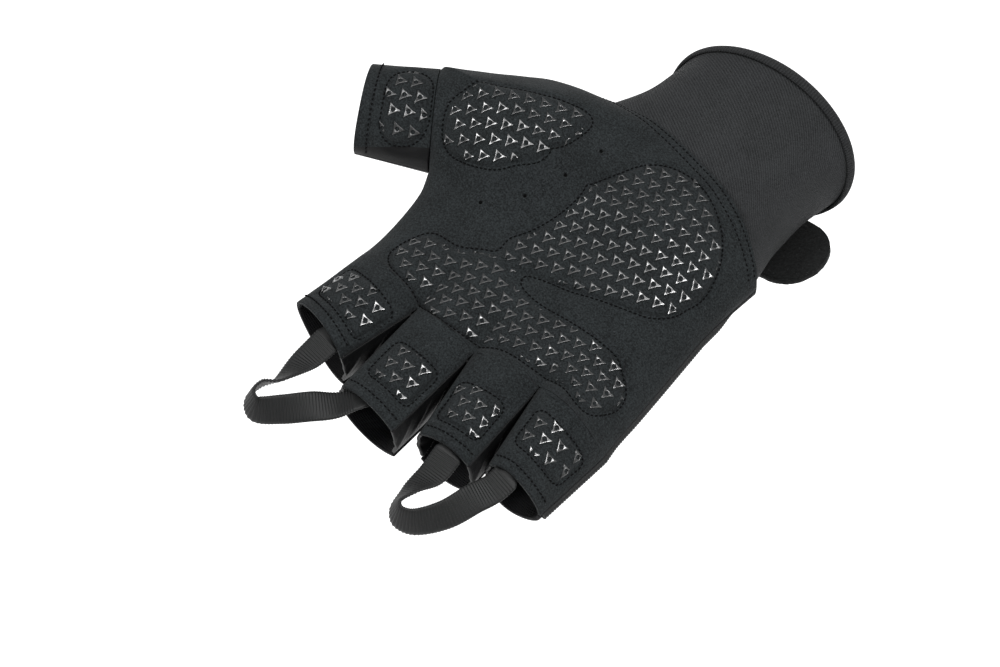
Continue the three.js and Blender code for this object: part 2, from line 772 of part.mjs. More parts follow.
const LITTLE_LOOP = {
  name: "pull_loop_ring_little", finger: 2, from: 0.62, to: 0.38,
  course: [
    { at: 0, side: -0.5, out: 0, up: 0, turn: -11 },
    { at: 0.12, side: -0.6, out: 0.28, up: -0.06, turn: 8 },
    { at: 0.25, side: -0.76, out: 0.56, up: 0, turn: 45 },
    { at: 0.36, side: -0.85, out: 0.76, up: 0.01, turn: 66 },
    { at: 0.45, side: -0.73, out: 0.88, up: 0.01, turn: 68 },
    { at: 0.55, side: -0.45, out: 0.87, up: 0.01, turn: 60 },
    { at: 0.68, side: -0.08, out: 0.67, up: 0.01, turn: 45 },
    { at: 0.82, side: 0.19, out: 0.38, up: -0.01, turn: 25 },
    { at: 0.92, side: 0.36, out: 0.18, up: -0.06, turn: 8 },
    { at: 1, side: 0.5, out: 0, up: 0, turn: 6 },
  ],
};
const LOOP_CELLS = 22;

// A webbing section of six points about its centre
function webbingSection(centre, width, normal) {
  const half = 0.5 * LOOP_WIDTH;
  const thick = 0.5 * LOOP_THICKNESS;
  return [[-1, 1], [0, 1], [1, 1], [1, -1], [0, -1], [-1, -1]].map(([side, face]) => centre.clone()
    .addScaledVector(width, half * side).addScaledVector(normal, thick * face));
}

// The end of a loop sewn under a finger's palm strip, at a distance inside the hem
function tuckedSection(finger, share, inside) {
  const t = 1 - inside / (FINGER_LENGTH * FINGERS[finger].length);
  const surface = (a, b) => fingerPoint(finger, a, b, 1);
  const reach = 0.5 * LOOP_WIDTH / (FINGER_WIDTH * FINGERS[finger].width);
  const points = [-1, 0, 1].map((side) => {
    const s = share + side * reach;
    return { point: surface(s, t), normal: surfaceNormal(surface, s, t, 1) };
  });
  const layer = (under) => points.map(
    ({ point, normal }) => point.clone().addScaledVector(normal, -under),
  );
  return [...layer(LOOP_UNDER), ...layer(LOOP_UNDER + LOOP_THICKNESS).reverse()];
}

function loopCentre(finger, share) {
  const point = fingerPoint(finger, share, 1, 1);
  point.z -= LOOP_UNDER + 0.5 * LOOP_THICKNESS;
  return point;
}

function pullLoop({ finger, from, to, course }) {
  const start = loopCentre(finger, from);
  const end = loopCentre(finger + 1, to);
  const across = end.clone().sub(start);
  const out = new THREE.Vector3(across.y, -across.x, 0).normalize();
  const middle = start.clone().lerp(end, 0.5);
  const place = (at) => middle.clone()
    .addScaledVector(across, along(course, "side", at))
    .addScaledVector(out, LOOP_REACH * along(course, "out", at))
    .addScaledVector(UP, LOOP_REACH * along(course, "up", at));
  const sections = [];
  for (let k = 1; k < LOOP_CELLS; k += 1) {
    const at = k / LOOP_CELLS;
    const tangent = place(at + 0.01).sub(place(at - 0.01)).normalize();
    const level = new THREE.Vector3().crossVectors(tangent, UP).normalize();
    const width = level.applyAxisAngle(tangent, along(course, "turn", at) * TURN);
    const normal = new THREE.Vector3().crossVectors(width, tangent).normalize();
    sections.push(webbingSection(place(at), width, normal));
  }
  const first = [LOOP_TUCK, 0].map((inside) => {
    const [a, b, c, d, e, f] = tuckedSection(finger, from, inside);
    return [c, b, a, f, e, d];
  });
  const last = [0, LOOP_TUCK].map((inside) => tuckedSection(finger + 1, to, inside));
  return sectionSolid([...first, ...sections, ...last], false);
}

// The wrist strap over the back of the cuff; its tongue runs on straight past the little-finger
// side and ends in a rounded tab
const STRAP_SIDES = [-1, -0.5, 0, 0.5, 1];
const TAB_ROWS = [
  { out: 0.3, half: 1 }, { out: 0.55, half: 0.96 }, { out: 0.78, half: 0.82 }, { out: 0.93, half: 0.58 },
  { out: 1, half: 0.32 },
];

function wristStrap() {
  const sheet = new Sheet();
  const surface = (w, t) => cuffPoint({ w, face: -1 }, t);
  const share = 0.5 * STRAP_WIDTH / CUFF_LENGTH;
  const spot = (w, side) => {
    const t = STRAP_MIDDLE + side * share;
    return { point: surface(w, t), normal: surfaceNormal(surface, w, t, 1) };
  };
  const addRow = (places) => places.map(({ point, normal }) => sheet.vertex(
    point.clone().addScaledVector(normal, STRAP_GAP + STRAP_THICKNESS),
    point.clone().addScaledVector(normal, STRAP_GAP),
  ));
  const rows = [];
  const cells = 9;
  for (let k = 0; k <= cells; k += 1) {
    const w = mix(STRAP_START, STRAP_LEAVES, k / cells);
    rows.push(addRow(STRAP_SIDES.map((side) => spot(w, side))));
  }
  const ahead = spot(STRAP_LEAVES + 0.02, 0).point.sub(spot(STRAP_LEAVES - 0.02, 0).point).normalize();
  for (const { out, half } of TAB_ROWS) {
    rows.push(addRow(STRAP_SIDES.map((side) => {
      const { point, normal } = spot(STRAP_LEAVES, side * half);
      return { point: point.addScaledVector(ahead, TAB_LENGTH * out), normal };
    })));
  }
  sheet.grid(rows);
  return facingOut(sheet.geometry());
}

// Vent holes punched through the palm: shares across and along
const VENTS = [
  { across: 0.44, along: 0.25 },
  { across: 0.47, along: 0.39 },
  { across: 0.375, along: 0.545 },
  { across: 0.235, along: 0.67 },
];

// Triangles reversed when they face into the solid
function facingOut(geometry) {
  const position = geometry.getAttribute("position");
  const index = geometry.getIndex().array;
  const corner = (k) => new THREE.Vector3().fromBufferAttribute(position, index[k]);
  let volume = 0;
  for (let k = 0; k < index.length; k += 3) volume += corner(k).dot(corner(k + 1).cross(corner(k + 2)));
  if (volume < 0) index.reverse();
  return geometry;
}

const wasm = await Module();
wasm.setup();

function toManifold(geometry) {
  const bare = geometry.clone();
  bare.deleteAttribute("normal");
  bare.deleteAttribute("uv");
  const merged = mergeVertices(bare, 1e-4);
  return new wasm.Manifold(new wasm.Mesh({
    numProp: 3,
    vertProperties: Float32Array.from(merged.getAttribute("position").array),
    triVerts: Uint32Array.from(merged.getIndex().array),
  }));
}

function toGeometry(solid) {
  const mesh = solid.getMesh();
  const geometry = new THREE.BufferGeometry();
  geometry.setAttribute("position", new THREE.BufferAttribute(mesh.vertProperties, 3));
  geometry.setIndex(new THREE.BufferAttribute(mesh.triVerts, 1));
  return geometry;
}

function palmPanel() {
  let panel = toManifold(handPanel(1, SUEDE));
  for (const vent of VENTS) {
    const punch = new THREE.CylinderGeometry(VENT_RADIUS, VENT_RADIUS, 6 * SUEDE, 8);
    const normal = surfaceNormal(palmSurface, vent.across, vent.along, 1);
    punch.applyQuaternion(new THREE.Quaternion().setFromUnitVectors(new THREE.Vector3(0, 1, 0), normal));
    const spot = palmSurface(vent.across, vent.along);
    punch.translate(spot.x, spot.y, spot.z);
    panel = panel.subtract(toManifold(punch));
  }
  return toGeometry(panel);
}

function addNode(root, name, geometry, color, roughness) {
  const material = new THREE.MeshStandardMaterial({ color, roughness, metalness: 0 });
  const mesh = new THREE.Mesh(geometry, material);
  mesh.name = name;
  root.add(mesh);
}

const SUEDE_BLACK = 0x2c2f31;
const PAD_BLACK = 0x2a2d2f;
const KNIT_BLACK = 0x161718;
const LYCRA_BLACK = 0x151617;
const NEOPRENE_BLACK = 0x393b3e;
const WEBBING_BLACK = 0x1e1f1f;

const glove = new THREE.Group();
addNode(glove, "palm_panel", palmPanel(), SUEDE_BLACK, 0.95);
addNode(glove, "back_panel", handPanel(-1, KNIT), KNIT_BLACK, 0.9);
addNode(glove, "thumb_panel", thumbPanel(1, SUEDE), SUEDE_BLACK, 0.95);
addNode(glove, "thumb_back", thumbPanel(-1, LYCRA), LYCRA_BLACK, 0.6);
for (let index = 0; index + 1 < FINGERS.length; index += 1) {
  const name = `fourchette_${FINGERS[index].name}_${FINGERS[index + 1].name}`;
  addNode(glove, name, fourchette(index), LYCRA_BLACK, 0.5);
}
addNode(glove, "cuff", cuff(), NEOPRENE_BLACK, 0.9);
addNode(glove, "cuff_binding", cuffBinding(), WEBBING_BLACK, 0.8);
addNode(glove, "wrist_strap", wristStrap(), WEBBING_BLACK, 1);
addNode(glove, "palm_pad", palmPad(), PAD_BLACK, 0.8);
addNode(glove, "thumb_mound_pad", thumbMoundPad(), PAD_BLACK, 0.8);
const thumbSurface = (s, t) => thumbPoint(clamp(s), clamp(t), 1).addScaledVector(UP, GAP / 2);
addNode(glove, THUMB_PAD.name, stripPad(thumbSurface, THUMB_PAD), PAD_BLACK, 0.8);
for (const pad of STRIP_PADS) {
  const surface = (s, t) => fingerPoint(pad.finger, clamp(s), clamp(t), 1).addScaledVector(UP, GAP / 2);
  addNode(glove, pad.name, stripPad(surface, pad), PAD_BLACK, 0.8);
}
for (const loop of [INDEX_LOOP, LITTLE_LOOP]) {
  addNode(glove, loop.name, pullLoop(loop), WEBBING_BLACK, 0.8);
}

export default glove;
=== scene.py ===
import math

import bpy
import numpy as np
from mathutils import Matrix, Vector
from mathutils.kdtree import KDTree

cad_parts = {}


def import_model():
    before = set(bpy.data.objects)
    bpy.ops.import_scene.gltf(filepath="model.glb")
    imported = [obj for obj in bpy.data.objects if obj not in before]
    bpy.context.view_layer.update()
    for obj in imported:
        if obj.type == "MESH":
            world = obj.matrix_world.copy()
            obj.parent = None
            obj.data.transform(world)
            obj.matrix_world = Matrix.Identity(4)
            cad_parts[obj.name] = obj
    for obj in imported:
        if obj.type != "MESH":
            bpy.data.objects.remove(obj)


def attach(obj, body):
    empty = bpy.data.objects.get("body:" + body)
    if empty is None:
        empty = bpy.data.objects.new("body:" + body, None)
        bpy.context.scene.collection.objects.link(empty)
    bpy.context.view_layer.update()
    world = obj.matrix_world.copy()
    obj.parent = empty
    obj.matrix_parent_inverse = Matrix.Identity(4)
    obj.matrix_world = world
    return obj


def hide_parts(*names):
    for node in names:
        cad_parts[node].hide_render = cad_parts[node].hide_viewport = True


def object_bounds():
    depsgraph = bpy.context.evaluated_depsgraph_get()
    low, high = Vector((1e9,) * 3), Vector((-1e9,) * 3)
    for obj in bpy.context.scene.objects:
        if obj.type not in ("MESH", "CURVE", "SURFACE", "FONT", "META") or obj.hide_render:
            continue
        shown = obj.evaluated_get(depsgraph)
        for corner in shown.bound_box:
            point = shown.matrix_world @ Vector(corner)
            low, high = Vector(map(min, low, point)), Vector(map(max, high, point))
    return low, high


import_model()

cad_box = [list(corner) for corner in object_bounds()]

# Half-finger weightlifting glove, palm up. Shapes are worked out in millimetres in the frame's
# own axes: fingers along -Y, thumb side -X, palm facing +Z. Meshes are made in metres.
MM = 0.001
RNG = np.random.default_rng(7)

# Sizes of the glove, the same as the solids have
PALM_WIDTH = 96
PALM_LENGTH = 86
HAND_DEPTH = 28
CUFF_LENGTH = 38
WRIST_WIDTH = 69
WRIST_DEPTH = 46
WRIST_ROUND = 195
RIM_TILT = math.radians(28)
RIM_TURN = math.radians(9.5)
RIM_CURVE = 1
CUFF_WAIST = 3
FINGER_LENGTH = 36
FINGER_WIDTH = 20
FINGER_FRONT = 18.5
FINGER_BACK = 3
FINGER_CROWN = 4
THUMB_LENGTH = 22.5
THUMB_WIDTH = 28.5
THUMB_CROWN = 9
THUMB_HEADING = math.radians(38)
THUMB_ROLL = math.radians(20)
MOUTH_RISE = 11
SEAM_BOW = 0.08
SEAM_LEAN = 0.6
ROOT_FADE = 0.74
GAP = 0.3
SUEDE = 1.2
KNIT = 1.2
LYCRA = 1
NEOPRENE = 2.2
BINDING = 1
BINDING_WIDTH = 4
LAP = 0.06
LAP_GAP = 0.7
LOOP_WIDTH = 8.7
LOOP_THICKNESS = 1
LOOP_REACH = 28
LOOP_TUCK = 5
LOOP_RIB = 0.9
LOOP_RIDGE = 0.13
LOOP_THIN_EDGE = 0.25
LOOP_UNDER = SUEDE + 3 * GAP
STRAP_GAP = BINDING + 3 * GAP
STRAP_THICKNESS = 2
STRAP_WIDTH = 34
STRAP_START = 0.12
STRAP_LEAVES = 0.8
STRAP_MIDDLE = 0.55
TAB_LENGTH = 23.5
PILE_ROUGHNESS = 0.06
WALL_START = 0.12
WALL_BULGE = 1.6


def table(columns, *rows):
    """Rows of numbers under named columns."""
    names = columns.split()
    return [dict(zip(names, row)) for row in rows]


# Outline of the hand from the cuff seam to the finger roots, as shares of the sizes above
OUTLINE = table(
    "at left_x left_y left_z right_x right_y right_z palm back corner",
    (0, -0.378, -0.02, 0.2, 0.45, 0.06, 0.16, 0.52, 0.68, False),
    (0.14, -0.52, 0.09, 0.34, 0.465, 0.19, 0.2, 0.54, 0.62, False),
    (0.36, -0.743, 0.373, 0.6, 0.49, 0.36, 0.25, 0.52, 0.56, True),
    (0.66, -0.517, 0.64, 0.32, 0.545, 0.62, 0.28, 0.48, 0.5, True),
    (0.78, -0.46, 0.745, 0.3, 0.57, 0.74, 0.3, 0.46, 0.47, False),
    (0.9, -0.412, 0.9, 0.31, 0.59, 0.85, 0.31, 0.45, 0.44, False),
    (1, -0.405, 1.05, 0.32, 0.61, 0.92, 0.32, 0.45, 0.42, False),
)
MOUTH_TOP = OUTLINE[2]["at"]
MOUTH_BOTTOM = OUTLINE[3]["at"]

MOUNDS = table(
    "across along reach_across reach_along rise",
    (0.2, 0.28, 0.2, 0.26, 0.17),
    (0.8, 0.26, 0.2, 0.3, 0.1),
    (0.5, 0.5, 0.2, 0.24, -0.09),
)
ROOTS = table("across past", (0, 0), (0.296, 0.051), (0.521, 0.046), (0.735, -0.009), (1, 0))
FINGERS = table(
    "name length width heading hem",
    ("index", 0.725, 1.36, -1, -8.5),
    ("middle", 0.95, 1.045, 9, 5.5),
    ("ring", 0.875, 0.885, 15.5, 13),
    ("little", 0.755, 0.945, 13, 11.5),
)

# Pads on the flat pattern: centre line, and half the width as a share of the palm's width
KNUCKLE_PAD = table(
    "at across along half",
    (0, 0.105, 0.885, 0.028),
    (0.08, 0.14, 0.88, 0.058),
    (0.2, 0.25, 0.872, 0.064),
    (0.34, 0.355, 0.868, 0.092),
    (0.45, 0.45, 0.862, 0.078),
    (0.6, 0.575, 0.838, 0.058),
    (0.74, 0.7, 0.822, 0.066),
    (0.86, 0.805, 0.8, 0.07),
    (0.95, 0.885, 0.8, 0.08),
    (1, 0.94, 0.785, 0.035),
)
HEEL_EDGE = table(
    "across along",
    (0.37, 0.7), (0.44, 0.6), (0.5, 0.485), (0.535, 0.37), (0.525, 0.26),
    (0.515, 0.155), (0.565, 0.085), (0.66, 0.065), (0.765, 0.075), (0.855, 0.105),
    (0.915, 0.165), (0.945, 0.275), (0.93, 0.41), (0.88, 0.51), (0.81, 0.57),
    (0.735, 0.615), (0.625, 0.675), (0.525, 0.722), (0.445, 0.765), (0.38, 0.79),
)
THUMB_MOUND_EDGE = table(
    "across along",
    (0.035, 0.56), (0.05, 0.48), (0.095, 0.41), (0.14, 0.35), (0.18, 0.29),
    (0.225, 0.235), (0.275, 0.19), (0.335, 0.205), (0.382, 0.27), (0.41, 0.35),
    (0.385, 0.425), (0.32, 0.49), (0.26, 0.55), (0.18, 0.59), (0.1, 0.61),
    (0.05, 0.6),
)

# Pads on the finger strips and on the thumb, their edges as shares across and along
STRIP_PADS = table(
    "name finger first last start end",
    ("index_pad", 0, 0.13, 0.97, 0.26, 0.79),
    ("middle_pad", 1, 0.14, 0.94, 0.36, 0.79),
    ("ring_pad", 2, 0.07, 0.88, 0.34, 0.81),
    ("little_pad", 3, 0.14, 0.95, 0.22, 0.71),
)
THUMB_PAD = dict(first=0.17, last=0.87, start=0.04, end=0.7)
PAD_SINK = 0.6
PAD_EDGE = 0.7
PAD_PUFF = 1.9
PAD_SLOPE = 1.8
PAD_SWELL = 6
PAD_CORNER = 2.4
THUMB_PAD_CORNER = 6.5
PAD_ROOT = 0.6
PAD_MESH = 0.55
STRIP_PAD_MESH = 0.45
SHORTEST_RIM = 20

# Printed silicone triangles
PRINT_SPACING = 4.85
PRINT_ROWS = 4.64
PRINT_TURN = math.radians(36.5)
PRINT_RADIUS = 2.25
PRINT_TIP = 0.25
PRINT_HOLE = 0.66
PRINT_HEIGHT = 0.36
PRINT_MARGIN = 0.5

STITCH_PITCH = 1.55
STITCH_LENGTH = 1.15
STITCH_WIDTH = 0.52
PAD_STITCH_PITCH = 1.5
PAD_THREAD_LIFT = 0.15
CUFF_SEAMS = (1.0, 3.5)
CUFF_SEAM_GROOVE = (0.7, 0.22)
HEM_SEAM = 3
HEM_GROOVE = (0.7, 0.2)
THUMB_HEM_SEAM = 3.7
PALM_FADE = 0.04
STRIP_FADE = 0.08
THUMB_FADE = 0.06

ROLL_RADIUS = 1.15
ROLL_RIB = 1.0
ROLL_RIDGE = 0.11
ROLL_TAPER = 12
ROLL_DROP = 0.8
ROLL_SIDES = 10

VENTS = table("across along", (0.44, 0.25), (0.47, 0.39), (0.375, 0.545), (0.235, 0.67))
VENT_RING = 1.45
VENT_HOLE = 0.5
VENT_SIDES = 20

INDEX_LOOP = table(
    "at side out up turn",
    (0, -0.5, 0, 0, -14),
    (0.12, -0.37, 0.3, -0.06, 8),
    (0.26, -0.17, 0.65, 0.01, 55),
    (0.35, -0.2, 0.84, 0.02, 72),
    (0.44, -0.1, 1, 0.02, 68),
    (0.54, 0.12, 1, 0.01, 60),
    (0.66, 0.26, 0.76, 0.01, 45),
    (0.8, 0.36, 0.47, -0.01, 25),
    (0.91, 0.44, 0.2, -0.07, -6),
    (1, 0.5, 0, 0, -17),
)
LITTLE_LOOP = table(
    "at side out up turn",
    (0, -0.5, 0, 0, -11),
    (0.12, -0.6, 0.28, -0.06, 8),
    (0.25, -0.76, 0.56, 0, 45),
    (0.36, -0.85, 0.76, 0.01, 66),
    (0.45, -0.73, 0.88, 0.01, 68),
    (0.55, -0.45, 0.87, 0.01, 60),
    (0.68, -0.08, 0.67, 0.01, 45),
    (0.82, 0.19, 0.38, -0.01, 25),
    (0.92, 0.36, 0.18, -0.06, 8),
    (1, 0.5, 0, 0, 6),
)

# Folds in the walls between the fingers
WALL_FOLDS = table("length lean phase height", (7.5, 2.1, 0, 0.2), (4.3, 3.4, 0.3, 0.09))

# Camera of the photograph, floor and lamps; a lamp's place and size are in metres
CAMERA_AZIMUTH = math.radians(50)
CAMERA_ELEVATION = math.radians(60)
CAMERA_DISTANCE = 900
CAMERA_LENS = 111.8
CAMERA_TARGET = (12.4, -117.1, 20)
FLOOR_DROP = 450
FLOOR_SIZE = 6
FLOOR_GLOW = 0.45
SKY_STRENGTH = 0.3
LAMPS = table(
    "name place size power",
    ("softbox overhead", (0.25, -0.3, 2.4), 1.6, 18),
    ("softbox right", (1.15, 0.65, 1.99), 0.8, 30),
    ("softbox left", (-0.91, -1.2, 1.95), 0.8, 24),
)

# Colours, linear
SUEDE_COLOUR = (0.0142, 0.0168, 0.0178)
NEOPRENE_COLOUR = (0.0245, 0.0258, 0.0270)
KNIT_COLOUR = (0.006, 0.006, 0.007)
LYCRA_COLOUR = (0.0035, 0.0037, 0.004)
WEBBING_COLOUR = (0.0085, 0.009, 0.0091)
# The thread colour also fills the vent discs: painted shade in place of holes
THREAD_AND_HOLE_SHADE_COLOUR = (0.0025, 0.0025, 0.0026)
PILE_COLOUR = (0.006, 0.0065, 0.0065)
PRINT_COLOUR = (0.009, 0.010, 0.0105)
TAPE_COLOUR = (0.022, 0.023, 0.024)
DUST_COLOUR = (0.07, 0.075, 0.08)
FLOOR_COLOUR = (0.92, 0.92, 0.92)


# Helpers for shapes

def mix(a, b, f):
    return a + (b - a) * f


def ease(f):
    f = np.clip(f, 0, 1)
    return f * f * (3 - 2 * f)


def along(rows, column, at):
    """Smooth value of a table column at a station; rows marked corner break the curve."""
    at = np.asarray(at, float)
    stations = np.array([row["at"] for row in rows], float)
    values = np.array([row[column] for row in rows], float)
    corner = np.array([bool(row.get("corner")) for row in rows])
    chord = np.diff(values) / np.diff(stations)
    last = len(rows) - 2
    i = np.clip(np.searchsorted(stations, at, side="right") - 1, 0, last)
    before = np.clip(i - 1, 0, last)
    after = np.clip(i + 2, 0, last + 1)
    smooth_start = (values[i + 1] - values[before]) / (stations[i + 1] - stations[before])
    smooth_end = (values[after] - values[i]) / (stations[after] - stations[i])
    start = np.where(corner[i] | (i == 0), chord[i], smooth_start)
    end = np.where(corner[i + 1] | (i == last), chord[i], smooth_end)
    span = stations[i + 1] - stations[i]
    f = (at - stations[i]) / span
    square = f * f
    cube = square * f
    value = (2 * cube - 3 * square + 1) * values[i] + (3 * square - 2 * cube) * values[i + 1]
    return value + span * ((cube - 2 * square + f) * start + (cube - square) * end)


def unit(vectors):
    return vectors / np.maximum(np.linalg.norm(vectors, axis=-1, keepdims=True), 1e-9)


def waves(points, *pairs):
    """Sum of a few soft waves over points; each pair is a wave vector in turns per millimetre
    and a height."""
    total = np.zeros(points.shape[:-1])
    for k, (vector, height) in enumerate(pairs):
        total += height * np.sin(2 * math.pi * (points @ np.array(vector, float)) + 1.7 * k)
    return total


def run_along(line):
    """Distance run along a line of points, at each of them."""
    return np.concatenate([[0], np.cumsum(np.linalg.norm(np.diff(line, axis=0), axis=1))])


def edge_fade(share, width):
    """0 at both edges of a panel and 1 from the given share inwards."""
    return np.minimum(ease(share / width), ease((1 - share) / width))


def softened(values, axis=0):
    """Values blended once with their neighbours, along an axis that closes on itself."""
    return 0.25 * np.roll(values, 1, axis) + 0.5 * values + 0.25 * np.roll(values, -1, axis)


def grid_quads(ids):
    return np.stack([ids[:-1, :-1], ids[1:, :-1], ids[1:, 1:], ids[:-1, 1:]], -1).reshape(-1, 4)


def free_edges(quads, count):
    """Directed edges of quads that no second quad shares."""
    edges = np.concatenate([quads[:, [k, (k + 1) % 4]] for k in range(4)])
    key = edges[:, 0].astype(np.int64) * count + edges[:, 1]
    back = edges[:, 1].astype(np.int64) * count + edges[:, 0]
    return edges[~np.isin(key, back)]


def walled(top, bottom, quads, rim):
    """Points and faces of a skin, its underside and the wall between their rims."""
    count = len(top)
    wall = np.stack([rim[:, 1], rim[:, 0], rim[:, 0] + count, rim[:, 1] + count], -1)
    return np.concatenate([top, bottom]), np.concatenate([quads, quads[:, ::-1] + count, wall])


# Surfaces of the hand

def outline_end(side, at):
    return np.stack([
        PALM_WIDTH * along(OUTLINE, side + "_x", at),
        -CUFF_LENGTH - PALM_LENGTH * along(OUTLINE, side + "_y", at),
        HAND_DEPTH * along(OUTLINE, side + "_z", at),
    ], -1)


def root_point(index):
    left, right = outline_end("left", 1), outline_end("right", 1)
    point = mix(left, right, ROOTS[index]["across"])
    point[1] -= PALM_LENGTH * ROOTS[index]["past"]
    return point


ROOT_POINTS = [root_point(index) for index in range(len(ROOTS))]
ACROSS = np.array([root["across"] for root in ROOTS])


def hem_corner(index, side):
    finger = FINGERS[index]
    middle = mix(ROOT_POINTS[index], ROOT_POINTS[index + 1], 0.5)
    length = FINGER_LENGTH * finger["length"]
    half = 0.5 * FINGER_WIDTH * finger["width"] * side
    heading, hem = math.radians(finger["heading"]), math.radians(finger["hem"])
    middle[0] += length * math.sin(heading) + half * math.cos(hem)
    middle[1] += -length * math.cos(heading) + half * math.sin(hem)
    return middle


def finger_edge(index, side, t, face):
    outer = (index == 0 and side < 0) or (index == len(FINGERS) - 1 and side > 0)
    root = ROOT_POINTS[index + (side > 0)]
    point = mix(root, hem_corner(index, side), np.asarray(t, float)[..., None])
    point[..., 2] = root[2] if outer else FINGER_FRONT if face > 0 else FINGER_BACK
    return point


def finger_point(index, s, t, face):
    s, t = np.broadcast_arrays(np.asarray(s, float), np.asarray(t, float))
    left = finger_edge(index, -1, t, face)
    right = finger_edge(index, 1, t, face)
    point = mix(left, right, s[..., None])
    slant = np.abs(left[..., 2] - right[..., 2]) / 2
    q = 2 * s - 1
    outer = ((index == 0) & (q < 0)) | ((index == len(FINGERS) - 1) & (q > 0))
    power = np.where(outer, 0.5, 0.9)
    point[..., 2] += face * (FINGER_CROWN + slant) * np.maximum(1 - q * q, 0) ** power
    return point


def mouth_opening(at):
    f = np.clip((at - MOUTH_TOP) / (MOUTH_BOTTOM - MOUTH_TOP), 0, 1)
    return np.maximum(np.sin(math.pi * f), 0) ** 0.6


def hand_point(w, v, face):
    w, v = np.broadcast_arrays(np.asarray(w, float), np.asarray(v, float))
    point = mix(outline_end("left", v), outline_end("right", v), w[..., None])
    q = 2 * w - 1
    depth = HAND_DEPTH * along(OUTLINE, "palm" if face > 0 else "back", v)
    arch = depth * np.maximum(1 - np.abs(q) ** 2.4, 0) ** 0.5
    rise = np.hypot(arch, MOUTH_RISE * mouth_opening(v) * (1 - w) ** 6)
    if face > 0:
        for mound in MOUNDS:
            a = (w - mound["across"]) / mound["reach_across"]
            b = (v - mound["along"]) / mound["reach_along"]
            swell = np.exp(-a * a - b * b) * np.minimum(1, arch / depth)
            rise = rise + HAND_DEPTH * mound["rise"] * swell
    point[..., 2] += face * rise
    point[..., 1] += PALM_LENGTH * SEAM_BOW * (1 - q * q) * (1 + SEAM_LEAN * q) * (1 - v) ** 2
    index = np.clip(np.searchsorted(ACROSS, w, side="right") - 1, 0, len(FINGERS) - 1)
    root = np.zeros_like(point)
    for finger in range(len(FINGERS)):
        s = np.clip((w - ACROSS[finger]) / (ACROSS[finger + 1] - ACROSS[finger]), 0, 1)
        spot = finger_point(finger, s, np.zeros_like(s), face)
        root = np.where((index == finger)[..., None], spot, root)
    return mix(point, root, ease((v - ROOT_FADE) / (1 - ROOT_FADE))[..., None])


def surface_normal(surface, a, b, face=1):
    step = 0.004
    a0, a1 = np.clip(a - step, 0, 1), np.clip(a + step, 0, 1)
    b0, b1 = np.clip(b - step, 0, 1), np.clip(b + step, 0, 1)
    across = surface(a1, b) - surface(a0, b)
    down = surface(a, b1) - surface(a, b0)
    return unit(np.cross(down, across) * face)


def thumb_hem():
    top, bottom = outline_end("left", MOUTH_TOP), outline_end("left", MOUTH_BOTTOM)
    c, s = math.cos(THUMB_HEADING), math.sin(THUMB_HEADING)
    axis = np.array([-c, -s, 0])
    chord = np.array([s * math.cos(THUMB_ROLL), -c * math.cos(THUMB_ROLL), -math.sin(THUMB_ROLL)])
    normal = unit(np.cross(axis, chord))
    if normal[2] < 0:
        normal = -normal
    return mix(top, bottom, 0.5) + axis * THUMB_LENGTH, chord, normal


HEM_MIDDLE, HEM_CHORD, HEM_NORMAL = thumb_hem()


def thumb_point(s, t, face):
    s, t = np.broadcast_arrays(np.asarray(s, float), np.asarray(t, float))
    start = hand_point(np.zeros_like(s), mix(MOUTH_TOP, MOUTH_BOTTOM, s), face)
    angle = (math.pi * s)[..., None]
    end = HEM_MIDDLE - 0.5 * THUMB_WIDTH * np.cos(angle) * HEM_CHORD
    end = end + face * THUMB_CROWN * np.sin(angle) * HEM_NORMAL
    return mix(start, end, t[..., None])


# Meshes

def linked(name, data):
    """A new object with the data, put into the scene."""
    piece = bpy.data.objects.new(name, data)
    bpy.context.scene.collection.objects.link(piece)
    return piece


def mesh_object(name, points, faces, material):
    """A mesh object from points in millimetres and lists of corners."""
    mesh = bpy.data.meshes.new(name)
    mesh.from_pydata((points * MM).tolist(), [], [list(map(int, face)) for face in faces])
    mesh.update()
    mesh.shade_smooth()
    mesh.materials.append(material)
    return linked(name, mesh)


def fitted(piece, node=None):
    """Lets a piece ride on the glove, in place of the solid it stands for."""
    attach(piece, "root")
    if node:
        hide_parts(node)
    return piece


class Cloth:
    """Quads of an outer skin; the wall below it is added at the end."""

    def __init__(self):
        self.points = []
        self.quads = []
        self.count = 0

    def add(self, points):
        flat = points.reshape(-1, 3)
        ids = np.arange(self.count, self.count + len(flat)).reshape(points.shape[:-1])
        self.points.append(flat)
        self.count += len(flat)
        return ids

    def grid(self, ids, flip=False, closed=False):
        if closed:
            ids = np.concatenate([ids, ids[:, :1]], 1)
        quads = grid_quads(ids)
        self.quads.append(quads[:, ::-1] if flip else quads)

    def turn_over(self):
        self.quads = [quads[:, ::-1] for quads in self.quads]

    def skin(self):
        return np.concatenate(self.points), np.concatenate(self.quads)

    def normals(self):
        points, quads = self.skin()
        corners = points[quads]
        normal = np.cross(corners[:, 2] - corners[:, 0], corners[:, 3] - corners[:, 1])
        total = np.zeros_like(points)
        for k in range(4):
            np.add.at(total, quads[:, k], normal)
        return unit(total)

    def area(self):
        points, quads = self.skin()
        c = points[quads]
        return 0.5 * np.linalg.norm(np.cross(c[:, 2] - c[:, 0], c[:, 3] - c[:, 1]), axis=1).sum()

    def object(self, name, wall, material, lift=None):
        """The skin with a wall of the given thickness below it; lift moves the skin along its
        normals first."""
        points, quads = self.skin()
        normals = self.normals()
        if lift is not None:
            points = points + normals * lift[:, None]
        rim = free_edges(quads, self.count)
        return mesh_object(name, *walled(points, points - normals * wall, quads, rim), material)


